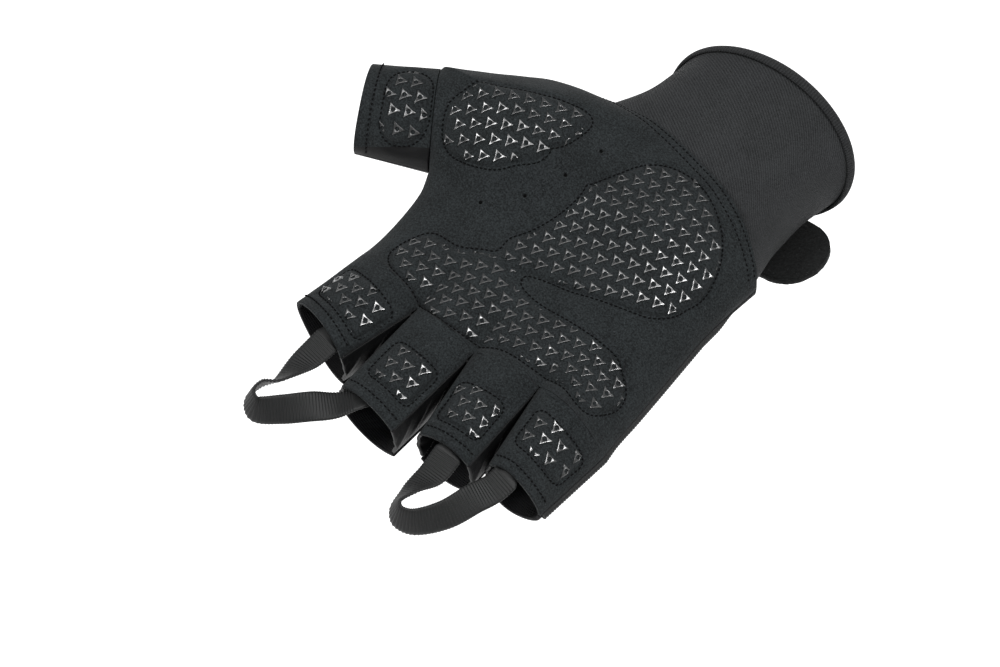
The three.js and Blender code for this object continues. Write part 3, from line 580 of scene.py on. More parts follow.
def column_shares(cells):
    """Shares across the hand, closer together at its rounded outer edges."""
    shares = [np.zeros(1)]
    for index in range(len(FINGERS)):
        f = np.arange(1, cells + 1) / cells
        if index == 0:
            f = mix(f, 1 - np.cos(f * math.pi / 2), 0.7)
        if index == len(FINGERS) - 1:
            f = mix(f, np.sin(f * math.pi / 2), 0.7)
        shares.append(mix(ACROSS[index], ACROSS[index + 1], f))
    return np.concatenate(shares)


# Outlines on the flat pattern

def ribbon_outline(rows, count=70):
    """Closed outline of a ribbon-shaped pad, in millimetres on the flat pattern."""
    at = np.linspace(0, 1, count)
    x = PALM_WIDTH * along(rows, "across", at)
    y = PALM_LENGTH * along(rows, "along", at)
    run = unit(np.stack([np.gradient(x), np.gradient(y)], -1))
    side = np.stack([-run[:, 1], run[:, 0]], -1)
    half = PALM_WIDTH * along(rows, "half", at)[:, None]
    centre = np.stack([x, y], -1)
    ends = []
    for k, sign in ((0, -1), (count - 1, 1)):
        turns = np.linspace(0, math.pi, 9)[1:-1, None]
        bulge = 0.55 * half[k] * np.sin(turns) * run[k] * sign
        ends.append(centre[k] + half[k] * np.cos(turns) * side[k] * sign + bulge)
    left, right = centre - half * side, centre + half * side
    return np.concatenate([left, ends[1][::-1], right[::-1], ends[0][::-1]])


def smooth_outline(rows, steps=8):
    """Closed smooth outline through the rows of a table, in millimetres on the flat pattern."""
    knots = np.array([(row["across"] * PALM_WIDTH, row["along"] * PALM_LENGTH) for row in rows])
    before, after, beyond = np.roll(knots, 1, 0), np.roll(knots, -1, 0), np.roll(knots, -2, 0)
    parts = []
    for k in range(steps):
        f = k / steps
        swing = 2 * before - 5 * knots + 4 * after - beyond
        bend = 3 * knots - before - 3 * after + beyond
        parts.append(0.5 * (2 * knots + (after - before) * f + swing * f * f + bend * f ** 3))
    return np.stack(parts, 1).reshape(-1, 2)


def polygon_distance(points, outline):
    """Signed distance of points to a closed outline, below 0 inside."""
    best = np.full(len(points), 1e9)
    inside = np.zeros(len(points), bool)
    for a, b in zip(outline, np.roll(outline, -1, 0)):
        edge = b - a
        offset = points - a
        f = np.clip(offset @ edge / max(edge @ edge, 1e-12), 0, 1)
        best = np.minimum(best, np.linalg.norm(offset - f[:, None] * edge, axis=1))
        crosses = (a[1] > points[:, 1]) != (b[1] > points[:, 1])
        if abs(edge[1]) > 1e-12:
            inside ^= crosses & (points[:, 0] < a[0] + edge[0] * (points[:, 1] - a[1]) / edge[1])
    return np.where(inside, -best, best)


class Region:
    """An area of the flat pattern with a signed distance, looked up on a fine grid."""

    def __init__(self, outlines, blend=0.0, cell=0.4, round_by=0.0, smoothing=24):
        corners = np.concatenate(outlines)
        margin = 4 + round_by
        self.cell = cell
        self.low = corners.min(0) - margin
        size = np.ceil((corners.max(0) + margin - self.low) / cell).astype(int) + 1
        grid = np.stack(np.meshgrid(*[np.arange(n) for n in size], indexing="ij"), -1)
        places = self.low + grid.reshape(-1, 2) * cell
        field = polygon_distance(places, outlines[0])
        for outline in outlines[1:]:
            other = polygon_distance(places, outline)
            h = np.clip(0.5 + 0.5 * (other - field) / max(blend, 1e-6), 0, 1)
            field = mix(other, field, h) - blend * h * (1 - h)
        field = (field - round_by).reshape(size)
        for _ in range(smoothing):
            for axis in (0, 1):
                field = softened(field, axis)
        self.field = field

    def distance(self, places):
        at = np.clip((places - self.low) / self.cell, 0, np.array(self.field.shape) - 1.001)
        i = at.astype(int)
        f = at - i
        q = self.field
        a = mix(q[i[..., 0], i[..., 1]], q[i[..., 0] + 1, i[..., 1]], f[..., 0])
        b = mix(q[i[..., 0], i[..., 1] + 1], q[i[..., 0] + 1, i[..., 1] + 1], f[..., 0])
        return mix(a, b, f[..., 1])

    def slope(self, places):
        step = 0.5 * self.cell
        dx = np.array([step, 0])
        dy = np.array([0, step])
        gx = self.distance(places + dx) - self.distance(places - dx)
        gy = self.distance(places + dy) - self.distance(places - dy)
        return unit(np.stack([gx, gy], -1))

    def onto(self, places):
        """Places moved onto the outline in a few steps."""
        for _ in range(3):
            places = places - self.distance(places)[..., None] * self.slope(places)
        return places

    def cells(self, pitch):
        """Corner places and quads of a grid clipped to the region, its rim on the outline."""
        low, high = self.low, self.low + (np.array(self.field.shape) - 1) * self.cell
        size = np.floor((high - low) / pitch).astype(int)
        grid = np.stack(np.meshgrid(*[np.arange(n) for n in size], indexing="ij"), -1)
        places = low + grid * pitch
        ids = np.arange(size[0] * size[1]).reshape(size)
        near = self.distance(places) < 0.35 * pitch
        quads = grid_quads(ids)
        quads = quads[near.reshape(-1)[quads].all(1)]
        flat = places.reshape(-1, 2).copy()
        rim = free_edges(quads, len(flat))
        on_rim = np.unique(rim)
        flat[on_rim] = self.onto(flat[on_rim])
        used = np.unique(quads)
        renumber = np.zeros(len(flat), int)
        renumber[used] = np.arange(len(used))
        return flat[used], renumber[quads], rim_loops(renumber[rim])


def rim_loops(edges):
    """Closed loops of vertex numbers from directed edges."""
    following = {}
    for a, b in edges:
        following.setdefault(int(a), []).append(int(b))
    loops = []
    while following:
        start = next(iter(following))
        loop = [start]
        while True:
            here = loop[-1]
            if here not in following:
                break
            there = following[here].pop()
            if not following[here]:
                del following[here]
            if there == start:
                break
            loop.append(there)
        loops.append(loop)
    return loops


palm_region = Region([ribbon_outline(KNUCKLE_PAD), smooth_outline(HEEL_EDGE)], blend=1.2)
mound_region = Region([smooth_outline(THUMB_MOUND_EDGE)])


def palm_place(w, v):
    return np.stack([w * PALM_WIDTH, v * PALM_LENGTH], -1)


def groove(distance, width=1.2, depth=0.6):
    return -depth * np.exp(-(distance / width) ** 2)


def palm_creases(points):
    """Soft unevenness of the suede over the hand."""
    return waves(
        points,
        ((0.021, 0.017, 0), 0.22),
        ((-0.034, 0.041, 0), 0.14),
        ((0.068, -0.022, 0), 0.07),
        ((0.052, 0.085, 0), 0.05),
    )


def palm_lift(w, v, points):
    """How far the suede stands off the plain palm surface."""
    places = palm_place(w, v)
    lift = palm_creases(points)
    for region in (palm_region, mound_region):
        lift = lift + groove(np.maximum(region.distance(places), 0))
    for row in CUFF_SEAMS:
        lift = lift + groove(v * PALM_LENGTH - row, *CUFF_SEAM_GROOVE)
    return lift * edge_fade(w, PALM_FADE)


def palm_surface(w, v):
    return hand_point(w, v, 1)


def palm_skin(w, v):
    """The suede of the palm with its relief."""
    points = palm_surface(w, v)
    points[..., 2] += GAP / 2
    return points + surface_normal(palm_surface, w, v) * palm_lift(w, v, points)[..., None]


# Materials

def node_group(name, inputs, outputs):
    """A group of shader nodes that takes the inputs and gives only values."""
    group = bpy.data.node_groups.new(name, "ShaderNodeTree")
    group.interface.new_socket("Vector", in_out="INPUT", socket_type="NodeSocketVector")
    for key, value in inputs.items():
        socket = group.interface.new_socket(key, in_out="INPUT", socket_type="NodeSocketFloat")
        socket.default_value = value
    for key in outputs:
        group.interface.new_socket(key, in_out="OUTPUT", socket_type="NodeSocketFloat")
    return group


class Nodes:
    """Short ways to add and join nodes."""

    def __init__(self, tree):
        self.tree = tree

    def put(self, value, socket):
        """Joins an output to a socket, or sets the socket to a value."""
        if isinstance(value, bpy.types.NodeSocket):
            self.tree.links.new(value, socket)
        else:
            socket.default_value = value

    def fill(self, node, **inputs):
        """Fills inputs by name, with _ for a space."""
        for key, value in inputs.items():
            self.put(value, node.inputs[key.replace("_", " ")])

    def add(self, kind, **settings):
        """A new node; settings that begin with in_ fill its inputs."""
        node = self.tree.nodes.new(kind)
        for key, value in settings.items():
            if key.startswith("in_"):
                self.fill(node, **{key[3:]: value})
            else:
                setattr(node, key, value)
        return node

    def math(self, operation, *values):
        node = self.add("ShaderNodeMath", operation=operation)
        for value, socket in zip(values, node.inputs):
            self.put(value, socket)
        return node.outputs[0]

    def noise(self, vector, scale, **settings):
        node = self.add("ShaderNodeTexNoise", in_Vector=vector, in_Scale=scale, **settings)
        return node.outputs["Fac"]

    def spread(self, value, low, high):
        node = self.add("ShaderNodeMapRange", in_Value=value, in_From_Min=low, in_From_Max=high)
        return node.outputs["Result"]

    def mixed(self, factor, a, b):
        node = self.add("ShaderNodeMix", data_type="RGBA", in_Factor=factor, in_A=a, in_B=b)
        return node.outputs["Result"]

    def attribute(self, name, kind="FLOAT_VECTOR"):
        node = self.add("GeometryNodeInputNamedAttribute", data_type=kind, in_Name=name)
        return node.outputs["Attribute"]

    def bump(self, shader, height, depth):
        node = self.add("ShaderNodeBump", in_Strength=1.0, in_Distance=depth, in_Height=height)
        self.fill(shader, Normal=node.outputs["Normal"])


def nap_group():
    """Short nap of suede: a height, and masks of lighter fibres and of dust."""
    group = node_group("nap", dict(Grain=1800.0, Cloud=90.0), ("Height", "Light", "Dust"))
    n = Nodes(group)
    given = n.add("NodeGroupInput").outputs
    grain = n.noise(given["Vector"], given["Grain"], in_Detail=6.0, in_Roughness=0.75)
    cloud = n.noise(given["Vector"], given["Cloud"], in_Detail=5.0, in_Roughness=0.6)
    dust = n.noise(given["Vector"], 1500.0, in_Detail=2.0)
    fibres = n.math("ADD", n.math("MULTIPLY", grain, 0.85), n.math("MULTIPLY", cloud, 0.15))
    light = n.spread(fibres, 0.41, 0.59)
    n.add("NodeGroupOutput", in_Height=grain, in_Light=light, in_Dust=n.spread(dust, 0.68, 0.74))
    return group


def twill_group():
    """Fine diagonal ribs of a jersey face, along a UV map in metres."""
    group = node_group("twill", dict(Pitch=0.0009, Slant=0.5), ("Height",))
    n = Nodes(group)
    given = n.add("NodeGroupInput").outputs
    place = n.add("ShaderNodeSeparateXYZ", in_Vector=given["Vector"]).outputs
    lean = n.math("MULTIPLY", place["X"], given["Slant"])
    turns = n.math("DIVIDE", n.math("ADD", place["Y"], lean), given["Pitch"])
    ribs = n.math("SINE", n.math("MULTIPLY", turns, 2 * math.pi))
    across = n.math("DIVIDE", place["X"], given["Pitch"])
    stitches = n.math("SINE", n.math("MULTIPLY", across, 4 * math.pi))
    n.add("NodeGroupOutput", in_Height=n.math("ADD", ribs, n.math("MULTIPLY", stitches, 0.35)))
    return group


NAP = nap_group()
TWILL = twill_group()


def new_material(name, colour, roughness, gloss, **inputs):
    """A plain material; gloss is its specular level, and further inputs go by their names."""
    material = bpy.data.materials.new(name)
    material.use_nodes = True
    n = Nodes(material.node_tree)
    shader = material.node_tree.nodes["Principled BSDF"]
    n.fill(shader, Base_Color=(*colour, 1), Roughness=roughness, Specular_IOR_Level=gloss, **inputs)
    return material, n, shader


def cloth_group(n, group, coordinates="Object", **inputs):
    """Outputs of one of the groups above, laid along the coordinates."""
    place = n.add("ShaderNodeTexCoord").outputs[coordinates]
    node = n.add("ShaderNodeGroup", node_tree=group)
    n.fill(node, Vector=place, **inputs)
    return node.outputs


def toned(n, factor, colour, dark, light):
    """The colour between its dark and its light share."""
    return n.mixed(factor, *[(*[share * c for c in colour], 1) for share in (dark, light)])


def suede_material(name, colour, grain=1800.0):
    material, n, shader = new_material(
        name, colour, 0.95, 0.15, Sheen_Weight=0.03, Sheen_Roughness=0.6)
    nap = cloth_group(n, NAP, Grain=grain)
    shade = toned(n, nap["Light"], colour, 0.35, 1.75)
    dust = n.math("MULTIPLY", nap["Dust"], 0.4)
    n.fill(shader, Base_Color=n.mixed(dust, shade, (*DUST_COLOUR, 1)))
    n.bump(shader, nap["Height"], 0.00018)
    return material


def twill_material(name, colour, pitch, slant, roughness=0.8, depth=0.00008):
    material, n, shader = new_material(
        name, colour, roughness, 0.2, Sheen_Weight=0.03, Sheen_Roughness=0.4)
    twill = cloth_group(n, TWILL, "UV", Pitch=pitch, Slant=slant)
    nap = cloth_group(n, NAP, Grain=2600.0)
    speckled = n.math("ADD", n.math("MULTIPLY", nap["Light"], 0.6), 0.2)
    tone = n.math("ADD", n.math("MULTIPLY", twill["Height"], 0.2), speckled)
    n.fill(shader, Base_Color=toned(n, tone, colour, 0.3, 1.7))
    n.bump(shader, n.math("ADD", twill["Height"], n.math("MULTIPLY", nap["Height"], 1.2)), depth)
    return material


def plain_material(name, colour, roughness, gloss, grain=0.0, **inputs):
    material, n, shader = new_material(name, colour, roughness, gloss, **inputs)
    if grain:
        n.bump(shader, cloth_group(n, NAP, Grain=grain)["Height"], 0.0001)
    return material


suede = suede_material("palm suede", SUEDE_COLOUR)
neoprene = twill_material("cuff jersey", NEOPRENE_COLOUR, 0.00085, 0.55)
binding_cloth = twill_material("binding tape", TAPE_COLOUR, 0.0009, 0.0, 0.85, 0.00012)
lycra = plain_material("stretch cloth", LYCRA_COLOUR, 0.55, 0.22, 2400.0)
knit = twill_material("back knit", KNIT_COLOUR, 0.0007, 0.0, 0.85, 0.00015)
webbing = plain_material("ribbed webbing", WEBBING_COLOUR, 0.55, 0.42, 2600.0)
# Thread for the stitches, and also for the vent discs, where it is painted shade standing in for holes
thread_and_hole_shade = plain_material("thread_and_hole_shade", THREAD_AND_HOLE_SHADE_COLOUR, 0.85, 0.1)
silicone = plain_material("silicone print", PRINT_COLOUR, 0.3, 1.0,
                          Coat_Weight=1.0, Coat_Roughness=0.2, Coat_IOR=1.7)
pile = suede_material("looped pile", PILE_COLOUR, 1300.0)


# Stitches and prints, set on points by geometry nodes

def set_on_points_tree(name, shape):
    """Sets a small shape on points: its X along the aim attribute, its Z along facing."""
    tree = bpy.data.node_groups.new(name, "GeometryNodeTree")
    face = tree.interface
    face.new_socket("Geometry", in_out="INPUT", socket_type="NodeSocketGeometry")
    length = face.new_socket("Length", in_out="INPUT", socket_type="NodeSocketFloat")
    width = face.new_socket("Width", in_out="INPUT", socket_type="NodeSocketFloat")
    finish = face.new_socket("Material", in_out="INPUT", socket_type="NodeSocketMaterial")
    face.new_socket("Geometry", in_out="OUTPUT", socket_type="NodeSocketGeometry")
    n = Nodes(tree)
    given = n.add("NodeGroupInput").outputs
    upright = n.add("FunctionNodeAlignRotationToVector", axis="Z", in_Vector=n.attribute("facing"))
    aimed = n.add("FunctionNodeAlignRotationToVector", axis="X", pivot_axis="Z",
                  in_Rotation=upright.outputs["Rotation"], in_Vector=n.attribute("aim"))
    copies = n.add("GeometryNodeInstanceOnPoints", in_Points=given["Geometry"],
                   in_Instance=shape(n, given), in_Rotation=aimed.outputs["Rotation"])
    real = n.add("GeometryNodeRealizeInstances", in_Geometry=copies.outputs["Instances"])
    pieces = real.outputs["Geometry"]
    if name == "prints":
        pieces = trim_at_edge(n, pieces)
    coloured = n.add("GeometryNodeSetMaterial", in_Geometry=pieces, in_Material=given["Material"])
    n.add("NodeGroupOutput", in_Geometry=coloured.outputs["Geometry"])
    return tree, dict(length=length.identifier, width=width.identifier, finish=finish.identifier)


def stitch_shape(n, given):
    """A ball drawn out to the length and width of a stitch."""
    ball = n.add("GeometryNodeMeshUVSphere", in_Segments=6, in_Rings=4, in_Radius=0.5)
    size = n.add("ShaderNodeCombineXYZ", in_X=given["Length"], in_Y=given["Width"], in_Z=given["Width"])
    stitch = n.add("GeometryNodeTransform", in_Geometry=ball.outputs["Mesh"],
                   in_Scale=size.outputs["Vector"])
    return stitch.outputs["Geometry"]


def trim_at_edge(n, geometry):
    """Deletes what reaches past the stitched edge: each print carries its distance to it."""
    place = n.add("GeometryNodeInputPosition").outputs["Position"]
    offset = n.add("ShaderNodeVectorMath", operation="SUBTRACT")
    past = n.add("ShaderNodeVectorMath", operation="DOT_PRODUCT")
    n.put(place, offset.inputs[0])
    n.put(n.attribute("centre"), offset.inputs[1])
    n.put(offset.outputs["Vector"], past.inputs[0])
    n.put(n.attribute("outward"), past.inputs[1])
    over = n.math("ADD", past.outputs["Value"], n.attribute("reach", "FLOAT"))
    over = n.math("GREATER_THAN", over, 0.0)
    cut = n.add("GeometryNodeDeleteGeometry", in_Geometry=geometry, in_Selection=over)
    return cut.outputs["Geometry"]


def print_piece():
    """One raised triangular ring with a round hole, in its own mesh, one corner along X."""
    count = 18
    turns = np.arange(count) / count * 2 * math.pi
    third = (turns + math.pi / 3) % (2 * math.pi / 3) - math.pi / 3
    outer = PRINT_RADIUS * 0.5 / np.cos(math.pi / 3 - np.abs(third))
    outer = outer + PRINT_TIP * np.exp(-(third / 0.2) ** 2)
    hole = np.full(count, PRINT_HOLE)
    profile = [(outer, -0.4), (outer - 0.02, 0.5), (outer - 0.12, 0.93), (outer - 0.22, 1),
               (hole + 0.13, 1), (hole + 0.02, 0.75), (hole, -0.4)]
    rings = [np.stack([r * np.cos(turns), r * np.sin(turns), np.full(count, z * PRINT_HEIGHT)], -1)
             for r, z in profile]
    cloth = Cloth()
    cloth.grid(cloth.add(np.stack(rings + rings[:1])), closed=True)
    points, quads = cloth.skin()
    piece = mesh_object("print pattern", points, quads, silicone)
    bpy.context.scene.collection.objects.unlink(piece)
    return piece


PRINT_PIECE = print_piece()


def print_shape(n, given):
    return n.add("GeometryNodeObjectInfo", in_Object=PRINT_PIECE).outputs["Geometry"]


def points_object(name, points, **attributes):
    """Loose points in millimetres that carry numbers or vectors under the given names."""
    mesh = bpy.data.meshes.new(name)
    mesh.from_pydata((points * MM).tolist(), [], [])
    for key, values in attributes.items():
        values = np.asarray(values, np.float32)
        kind = "FLOAT" if values.ndim == 1 else "FLOAT_VECTOR"
        layer = mesh.attributes.new(key, kind, "POINT")
        layer.data.foreach_set("value" if values.ndim == 1 else "vector", values.ravel())
    return linked(name, mesh)


def grown(piece, tree, sockets, length, width, finish):
    """Runs the tree on a piece and keeps the result as its plain mesh."""
    modifier = piece.modifiers.new("set", "NODES")
    modifier.node_group = tree
    modifier[sockets["length"]] = length * MM
    modifier[sockets["width"]] = width * MM
    modifier[sockets["finish"]] = finish
    graph = bpy.context.evaluated_depsgraph_get()
    mesh = bpy.data.meshes.new_from_object(piece.evaluated_get(graph))
    mesh.shade_smooth()
    piece.modifiers.clear()
    piece.data = mesh
    return piece


STITCHES, STITCH_SOCKETS = set_on_points_tree("stitches", stitch_shape)
PRINTS, PRINT_SOCKETS = set_on_points_tree("prints", print_shape)


def resample(points, pitch, closed=False):
    """Evenly spaced points on a polyline, with their directions."""
    if closed:
        points = np.concatenate([points, points[:1]])
    run = run_along(points)
    count = max(2, int(round(run[-1] / pitch)))
    at = (np.arange(count) + 0.5) / count * run[-1]
    step = 0.3 * pitch
    spots, ahead, behind = [
        np.stack([np.interp(stop, run, points[:, k]) for k in range(3)], -1)
        for stop in (at, at + step, at - step)
    ]
    return spots, unit(ahead - behind)


class Seams:
    """Collects stitch rows and makes them one piece of thread."""

    def __init__(self):
        self.spots, self.aims = [], []

    def row(self, points, closed=False, pitch=STITCH_PITCH):
        spots, aims = resample(points, pitch, closed)
        self.spots.append(spots)
        self.aims.append(aims)

    def object(self, name):
        spots = np.concatenate(self.spots)
        up = np.broadcast_to(np.array([0, 0, 1.0]), spots.shape)
        piece = points_object(name, spots, aim=np.concatenate(self.aims), facing=up)
        return grown(piece, STITCHES, STITCH_SOCKETS, STITCH_LENGTH, STITCH_WIDTH, thread_and_hole_shade)


# Pads: quilted areas of the suede, raised inside a sunk row of stitches

def quilted_pad(name, region, surface, normal, node, pitch):
    """A padded area: surface and normal map places on the flat pattern to the glove."""
    places, quads, loops = region.cells(pitch)
    depth = -region.distance(places)
    rise = -PAD_SINK + (PAD_EDGE + PAD_SINK) * ease(depth / PAD_SLOPE) ** 0.7
    rise += (PAD_PUFF - PAD_EDGE) * (1 - np.exp(-np.maximum(depth, 0) / PAD_SWELL))
    base = surface(places)
    facing = normal(places)
    top = base + facing * rise[:, None]
    rim = np.concatenate([np.stack([loop, np.roll(loop, -1)], -1) for loop in loops])
    across = np.cross(top[quads[0, 1]] - top[quads[0, 0]], top[quads[0, 2]] - top[quads[0, 0]])
    if across @ facing[quads[0, 0]] < 0:
        quads = quads[:, ::-1]
        rim = rim[:, ::-1]
    piece = mesh_object(name, *walled(top, base - facing * PAD_ROOT, quads, rim), suede)
    for loop in loops:
        if len(loop) > SHORTEST_RIM:
            line = region.onto(places[loop])
            for _ in range(4):
                line = softened(line)
            thread_line = surface(line) + normal(line) * PAD_THREAD_LIFT
            pad_seams.row(thread_line, closed=True, pitch=PAD_STITCH_PITCH)
    fitted(piece, node)
    return top, facing, places, depth


class Prints:
    """Collects places for the printed triangles."""

    def __init__(self):
        self.rows = []

    def cover(self, region, surface, top, facing, places, depth, flat):
        """flat gives the nearly true-length plan of the pad in which the lattice is laid."""
        tree = KDTree(len(flat))
        for k, (x, y) in enumerate(flat):
            tree.insert((x, y, 0), k)
        tree.balance()
        low, high = flat.min(0) - 4, flat.max(0) + 4
        along_row = np.array([math.cos(PRINT_TURN), math.sin(PRINT_TURN)])
        across_rows = np.array([-along_row[1], along_row[0]])
        reach = int(np.linalg.norm(high - low) / PRINT_ROWS) + 2
        middle = np.round((low + high) / 2 / PRINT_SPACING) * PRINT_SPACING
        for row in range(-reach, reach + 1):
            for column in range(-reach, reach + 1):
                shift = column + 0.5 * (row % 2)
                spot = middle + along_row * PRINT_SPACING * shift + across_rows * PRINT_ROWS * row
                _, k, away = tree.find((spot[0], spot[1], 0))
                if away > PRINT_RADIUS * 0.75:
                    continue
                edge = places[k:k + 1] + 0.4 * region.slope(places[k:k + 1])
                outward = unit(surface(edge)[0] - surface(places[k:k + 1])[0])
                self.add(top[k], facing[k], spot - flat[k], depth[k], outward)

    def add(self, point, facing, extra, depth, outward):
        c, s = math.cos(PRINT_TURN), math.sin(PRINT_TURN)
        aim = np.array([c, s, 0])
        aim = unit(aim - facing * (aim @ facing))
        side = np.cross(facing, aim)
        place = point + aim * (extra @ np.array([c, s])) + side * (extra @ np.array([-s, c]))
        reach = (place - point) @ outward - depth + PRINT_MARGIN
        self.rows.append((place, facing, aim, outward, reach))

    def object(self, name):
        place, facing, aim, outward, reach = [np.array(column) for column in zip(*self.rows)]
        piece = points_object(name, place, facing=facing, aim=aim, outward=outward,
                              centre=place * MM, reach=reach * MM)
        return grown(piece, PRINTS, PRINT_SOCKETS, 1, 1, silicone)


def palm_spots(places):
    return places[..., 0] / PALM_WIDTH, places[..., 1] / PALM_LENGTH


def palm_surface_at(places):
    return palm_skin(*[np.clip(share, 0, 1) for share in palm_spots(places)])


def palm_normal_at(places):
    w, v = [np.clip(share, 0.01, 0.99) for share in palm_spots(places)]
    return surface_normal(palm_surface, w, v)


def palm_plan(points, facing):
    """A plan of points on the palm in which lengths are nearly true: the slope towards the
    two sides of the hand is laid flat."""
    x, y = points[:, 0], points[:, 1]
    grid = np.linspace(-75, 65, 281)
    order = np.argsort(x)
    tilt = np.abs(facing[:, 0]) / np.maximum(facing[:, 2], 0.25)
    stretch = np.interp(grid, x[order], smooth_values(np.hypot(1, tilt)[order]))
    run = np.concatenate([[0], np.cumsum(0.5 * (stretch[1:] + stretch[:-1]) * np.diff(grid))])
    flat = np.interp(x, grid, run - np.interp(0, grid, run))
    return np.stack([flat, y], -1)


def smooth_values(values, width=301):
    kernel = np.hanning(min(width, len(values) // 2 * 2 - 1))
    padded = np.pad(values, len(kernel) // 2, mode="edge")
    return np.convolve(padded, kernel / kernel.sum(), mode="valid")


def make_vents():
    """Pressed rings round small vents. The holes are not cut through: a flat disc in the thread colour
    covers each one, painted shade where the hole's dark inside would be.
    """
    turns = np.arange(VENT_SIDES) / VENT_SIDES * 2 * math.pi
    profile = [(VENT_RING, -0.1), (VENT_RING - 0.25, 0.4), (VENT_HOLE + 0.35, 0.4), (VENT_HOLE, 0.1)]
    points, faces = [], []
    for vent in VENTS:
        w, v = np.array(vent["across"]), np.array(vent["along"])
        centre = palm_skin(w, v)
        facing = palm_normal_at(palm_place(w, v))
        side = unit(np.cross(facing, np.array([0, 1.0, 0])))
        up = np.cross(facing, side)
        first = len(points)
        for radius, level in profile:
            for turn in turns:
                spoke = side * math.cos(turn) + up * math.sin(turn)
                points.append(centre + spoke * radius + facing * level)
        for ring in range(len(profile) - 1):
            start = first + ring * VENT_SIDES
            for k in range(VENT_SIDES):
                a, b = start + k, start + (k + 1) % VENT_SIDES
                faces.append([b, a, a + VENT_SIDES, b + VENT_SIDES])
        faces.append([first + (len(profile) - 1) * VENT_SIDES + k for k in range(VENT_SIDES)])
        faces.append([first + k for k in range(VENT_SIDES)][::-1])
    piece = mesh_object("vent_eyelets", np.array(points), faces, suede)
    piece.data.materials.append(thread_and_hole_shade)
    # Faces with more than four corners take the thread colour: the disc over each vent is painted
    # shade, and the other closes the underside
    for polygon in piece.data.polygons:
        polygon.material_index = 1 if len(polygon.vertices) > 4 else 0
    fitted(piece)


pad_seams = Seams()
prints = Prints()
make_vents()

for name, region, node in (
    ("quilted_palm", palm_region, "palm_pad"),
    ("quilted_thumb_mound", mound_region, "thumb_mound_pad"),
):
    top, facing, places, depth = quilted_pad(
        name, region, palm_surface_at, palm_normal_at, node, PAD_MESH)
    prints.cover(region, palm_surface_at, top, facing, places, depth, palm_plan(top, facing))


def strip_region(width, length, box, corner=PAD_CORNER):
    """Rounded area of a pad on a finger strip or the thumb, in millimetres."""
    x0, x1 = width * box["first"] + corner, width * box["last"] - corner
    y0, y1 = length * box["start"] + corner, length * box["end"] - corner
    outline = np.array([(x0, y0), (x1, y0), (x1, y1), (x0, y1)], float)
    return Region([outline], cell=0.3, round_by=corner, smoothing=4)


def strip_pad(name, node, width, length, region, surface, relief):
    """The pad of a finger strip or of the thumb, with its prints."""
    def surface_at(places):
        s = np.clip(places[..., 0] / width, 0, 1)
        t = np.clip(places[..., 1] / length, 0, 1)
        points = surface(s, t)
        points[..., 2] += GAP / 2
        return points + normal_at(places) * relief(s, t, points)[..., None]

    def normal_at(places):
        s = np.clip(places[..., 0] / width, 0.02, 0.98)
        t = np.clip(places[..., 1] / length, 0.02, 0.98)
        return surface_normal(surface, s, t)

    top, facing, places, depth = quilted_pad(
        name, region, surface_at, normal_at, node, STRIP_PAD_MESH)
    prints.cover(region, surface_at, top, facing, places, depth, top[:, :2])


def strip_relief(region, width, length):
    """How far the suede stands off a plain strip, as a function of its shares."""
    def relief(s, t, points):
        places = np.stack([s * width, t * length], -1)
        return palm_creases(points) + groove(np.maximum(region.distance(places), 0))
    return relief


finger_regions = {}
for box in STRIP_PADS:
    index = box["finger"]
    width = FINGER_WIDTH * FINGERS[index]["width"]
    length = FINGER_LENGTH * FINGERS[index]["length"]
    region = strip_region(width, length, box)
    finger_regions[index] = strip_relief(region, width, length)
    strip_pad(
        "quilted_" + box["name"], box["name"], width, length, region,
        lambda s, t, index=index: finger_point(index, s, t, 1), finger_regions[index],
    )

thumb_region = strip_region(THUMB_WIDTH, THUMB_LENGTH, THUMB_PAD, THUMB_PAD_CORNER)
thumb_relief = strip_relief(thumb_region, THUMB_WIDTH, THUMB_LENGTH)
strip_pad(
    "quilted_thumb", "thumb_pad", THUMB_WIDTH, THUMB_LENGTH, thumb_region,
    lambda s, t: thumb_point(s, t, 1), thumb_relief,
)

fitted(prints.object("silicone_prints"))


# The palm and back panels

def no_relief(a, b, points):
    return np.zeros_like(a)


def panel_cloth(face, cells, rows, tip_rows, relief):
    """The front or back of the hand and its four finger strips in one cloth."""
    cloth = Cloth()
    w = column_shares(cells)
    v = np.concatenate([
        np.linspace(0, MOUTH_TOP, rows // 3, endpoint=False),
        np.linspace(MOUTH_TOP, MOUTH_BOTTOM, rows // 3, endpoint=False),
        np.linspace(MOUTH_BOTTOM, 1, rows // 3 + 1),
    ])
    grid_w, grid_v = np.meshgrid(w, v)
    points = hand_point(grid_w, grid_v, face)
    points[..., 2] += face * GAP / 2
    lifts = [relief(grid_w, grid_v, points).ravel()]
    ids = cloth.add(points)
    cloth.grid(ids, face < 0)
    for index in range(len(FINGERS)):
        first = index * cells
        root = ids[-1:, first:first + cells + 1]
        left, right = ACROSS[index], ACROSS[index + 1]
        s = np.clip((w[first:first + cells + 1] - left) / (right - left), 0, 1)
        grid_s, grid_t = np.meshgrid(s, np.linspace(0, 1, tip_rows + 1)[1:])
        strip = finger_point(index, grid_s, grid_t, face)
        strip[..., 2] += face * GAP / 2
        if face > 0:
            lift = finger_regions[index](grid_s, grid_t, strip)
            length = FINGER_LENGTH * FINGERS[index]["length"]
            lift = lift + groove((1 - grid_t) * length - HEM_SEAM, *HEM_GROOVE)
            lift = lift * edge_fade(grid_s, STRIP_FADE)
        else:
            lift = np.zeros_like(grid_s)
        lifts.append(lift.ravel())
        cloth.grid(np.concatenate([root, cloth.add(strip)]), face < 0)
    return cloth, np.concatenate(lifts)


def worn(piece, node, cloth):
    """A cloth piece, fitted on the glove in place of its solid; a flat width from the area of its skin
    is worked out but not used.
    """
    fitted(piece, node)
    width = math.sqrt(cloth.area()) * MM


palm_cloth, palm_lifts = panel_cloth(1, 40, 165, 44, palm_lift)
palm_panel = palm_cloth.object("suede_palm", SUEDE, suede, palm_lifts)
worn(palm_panel, "palm_panel", palm_cloth)


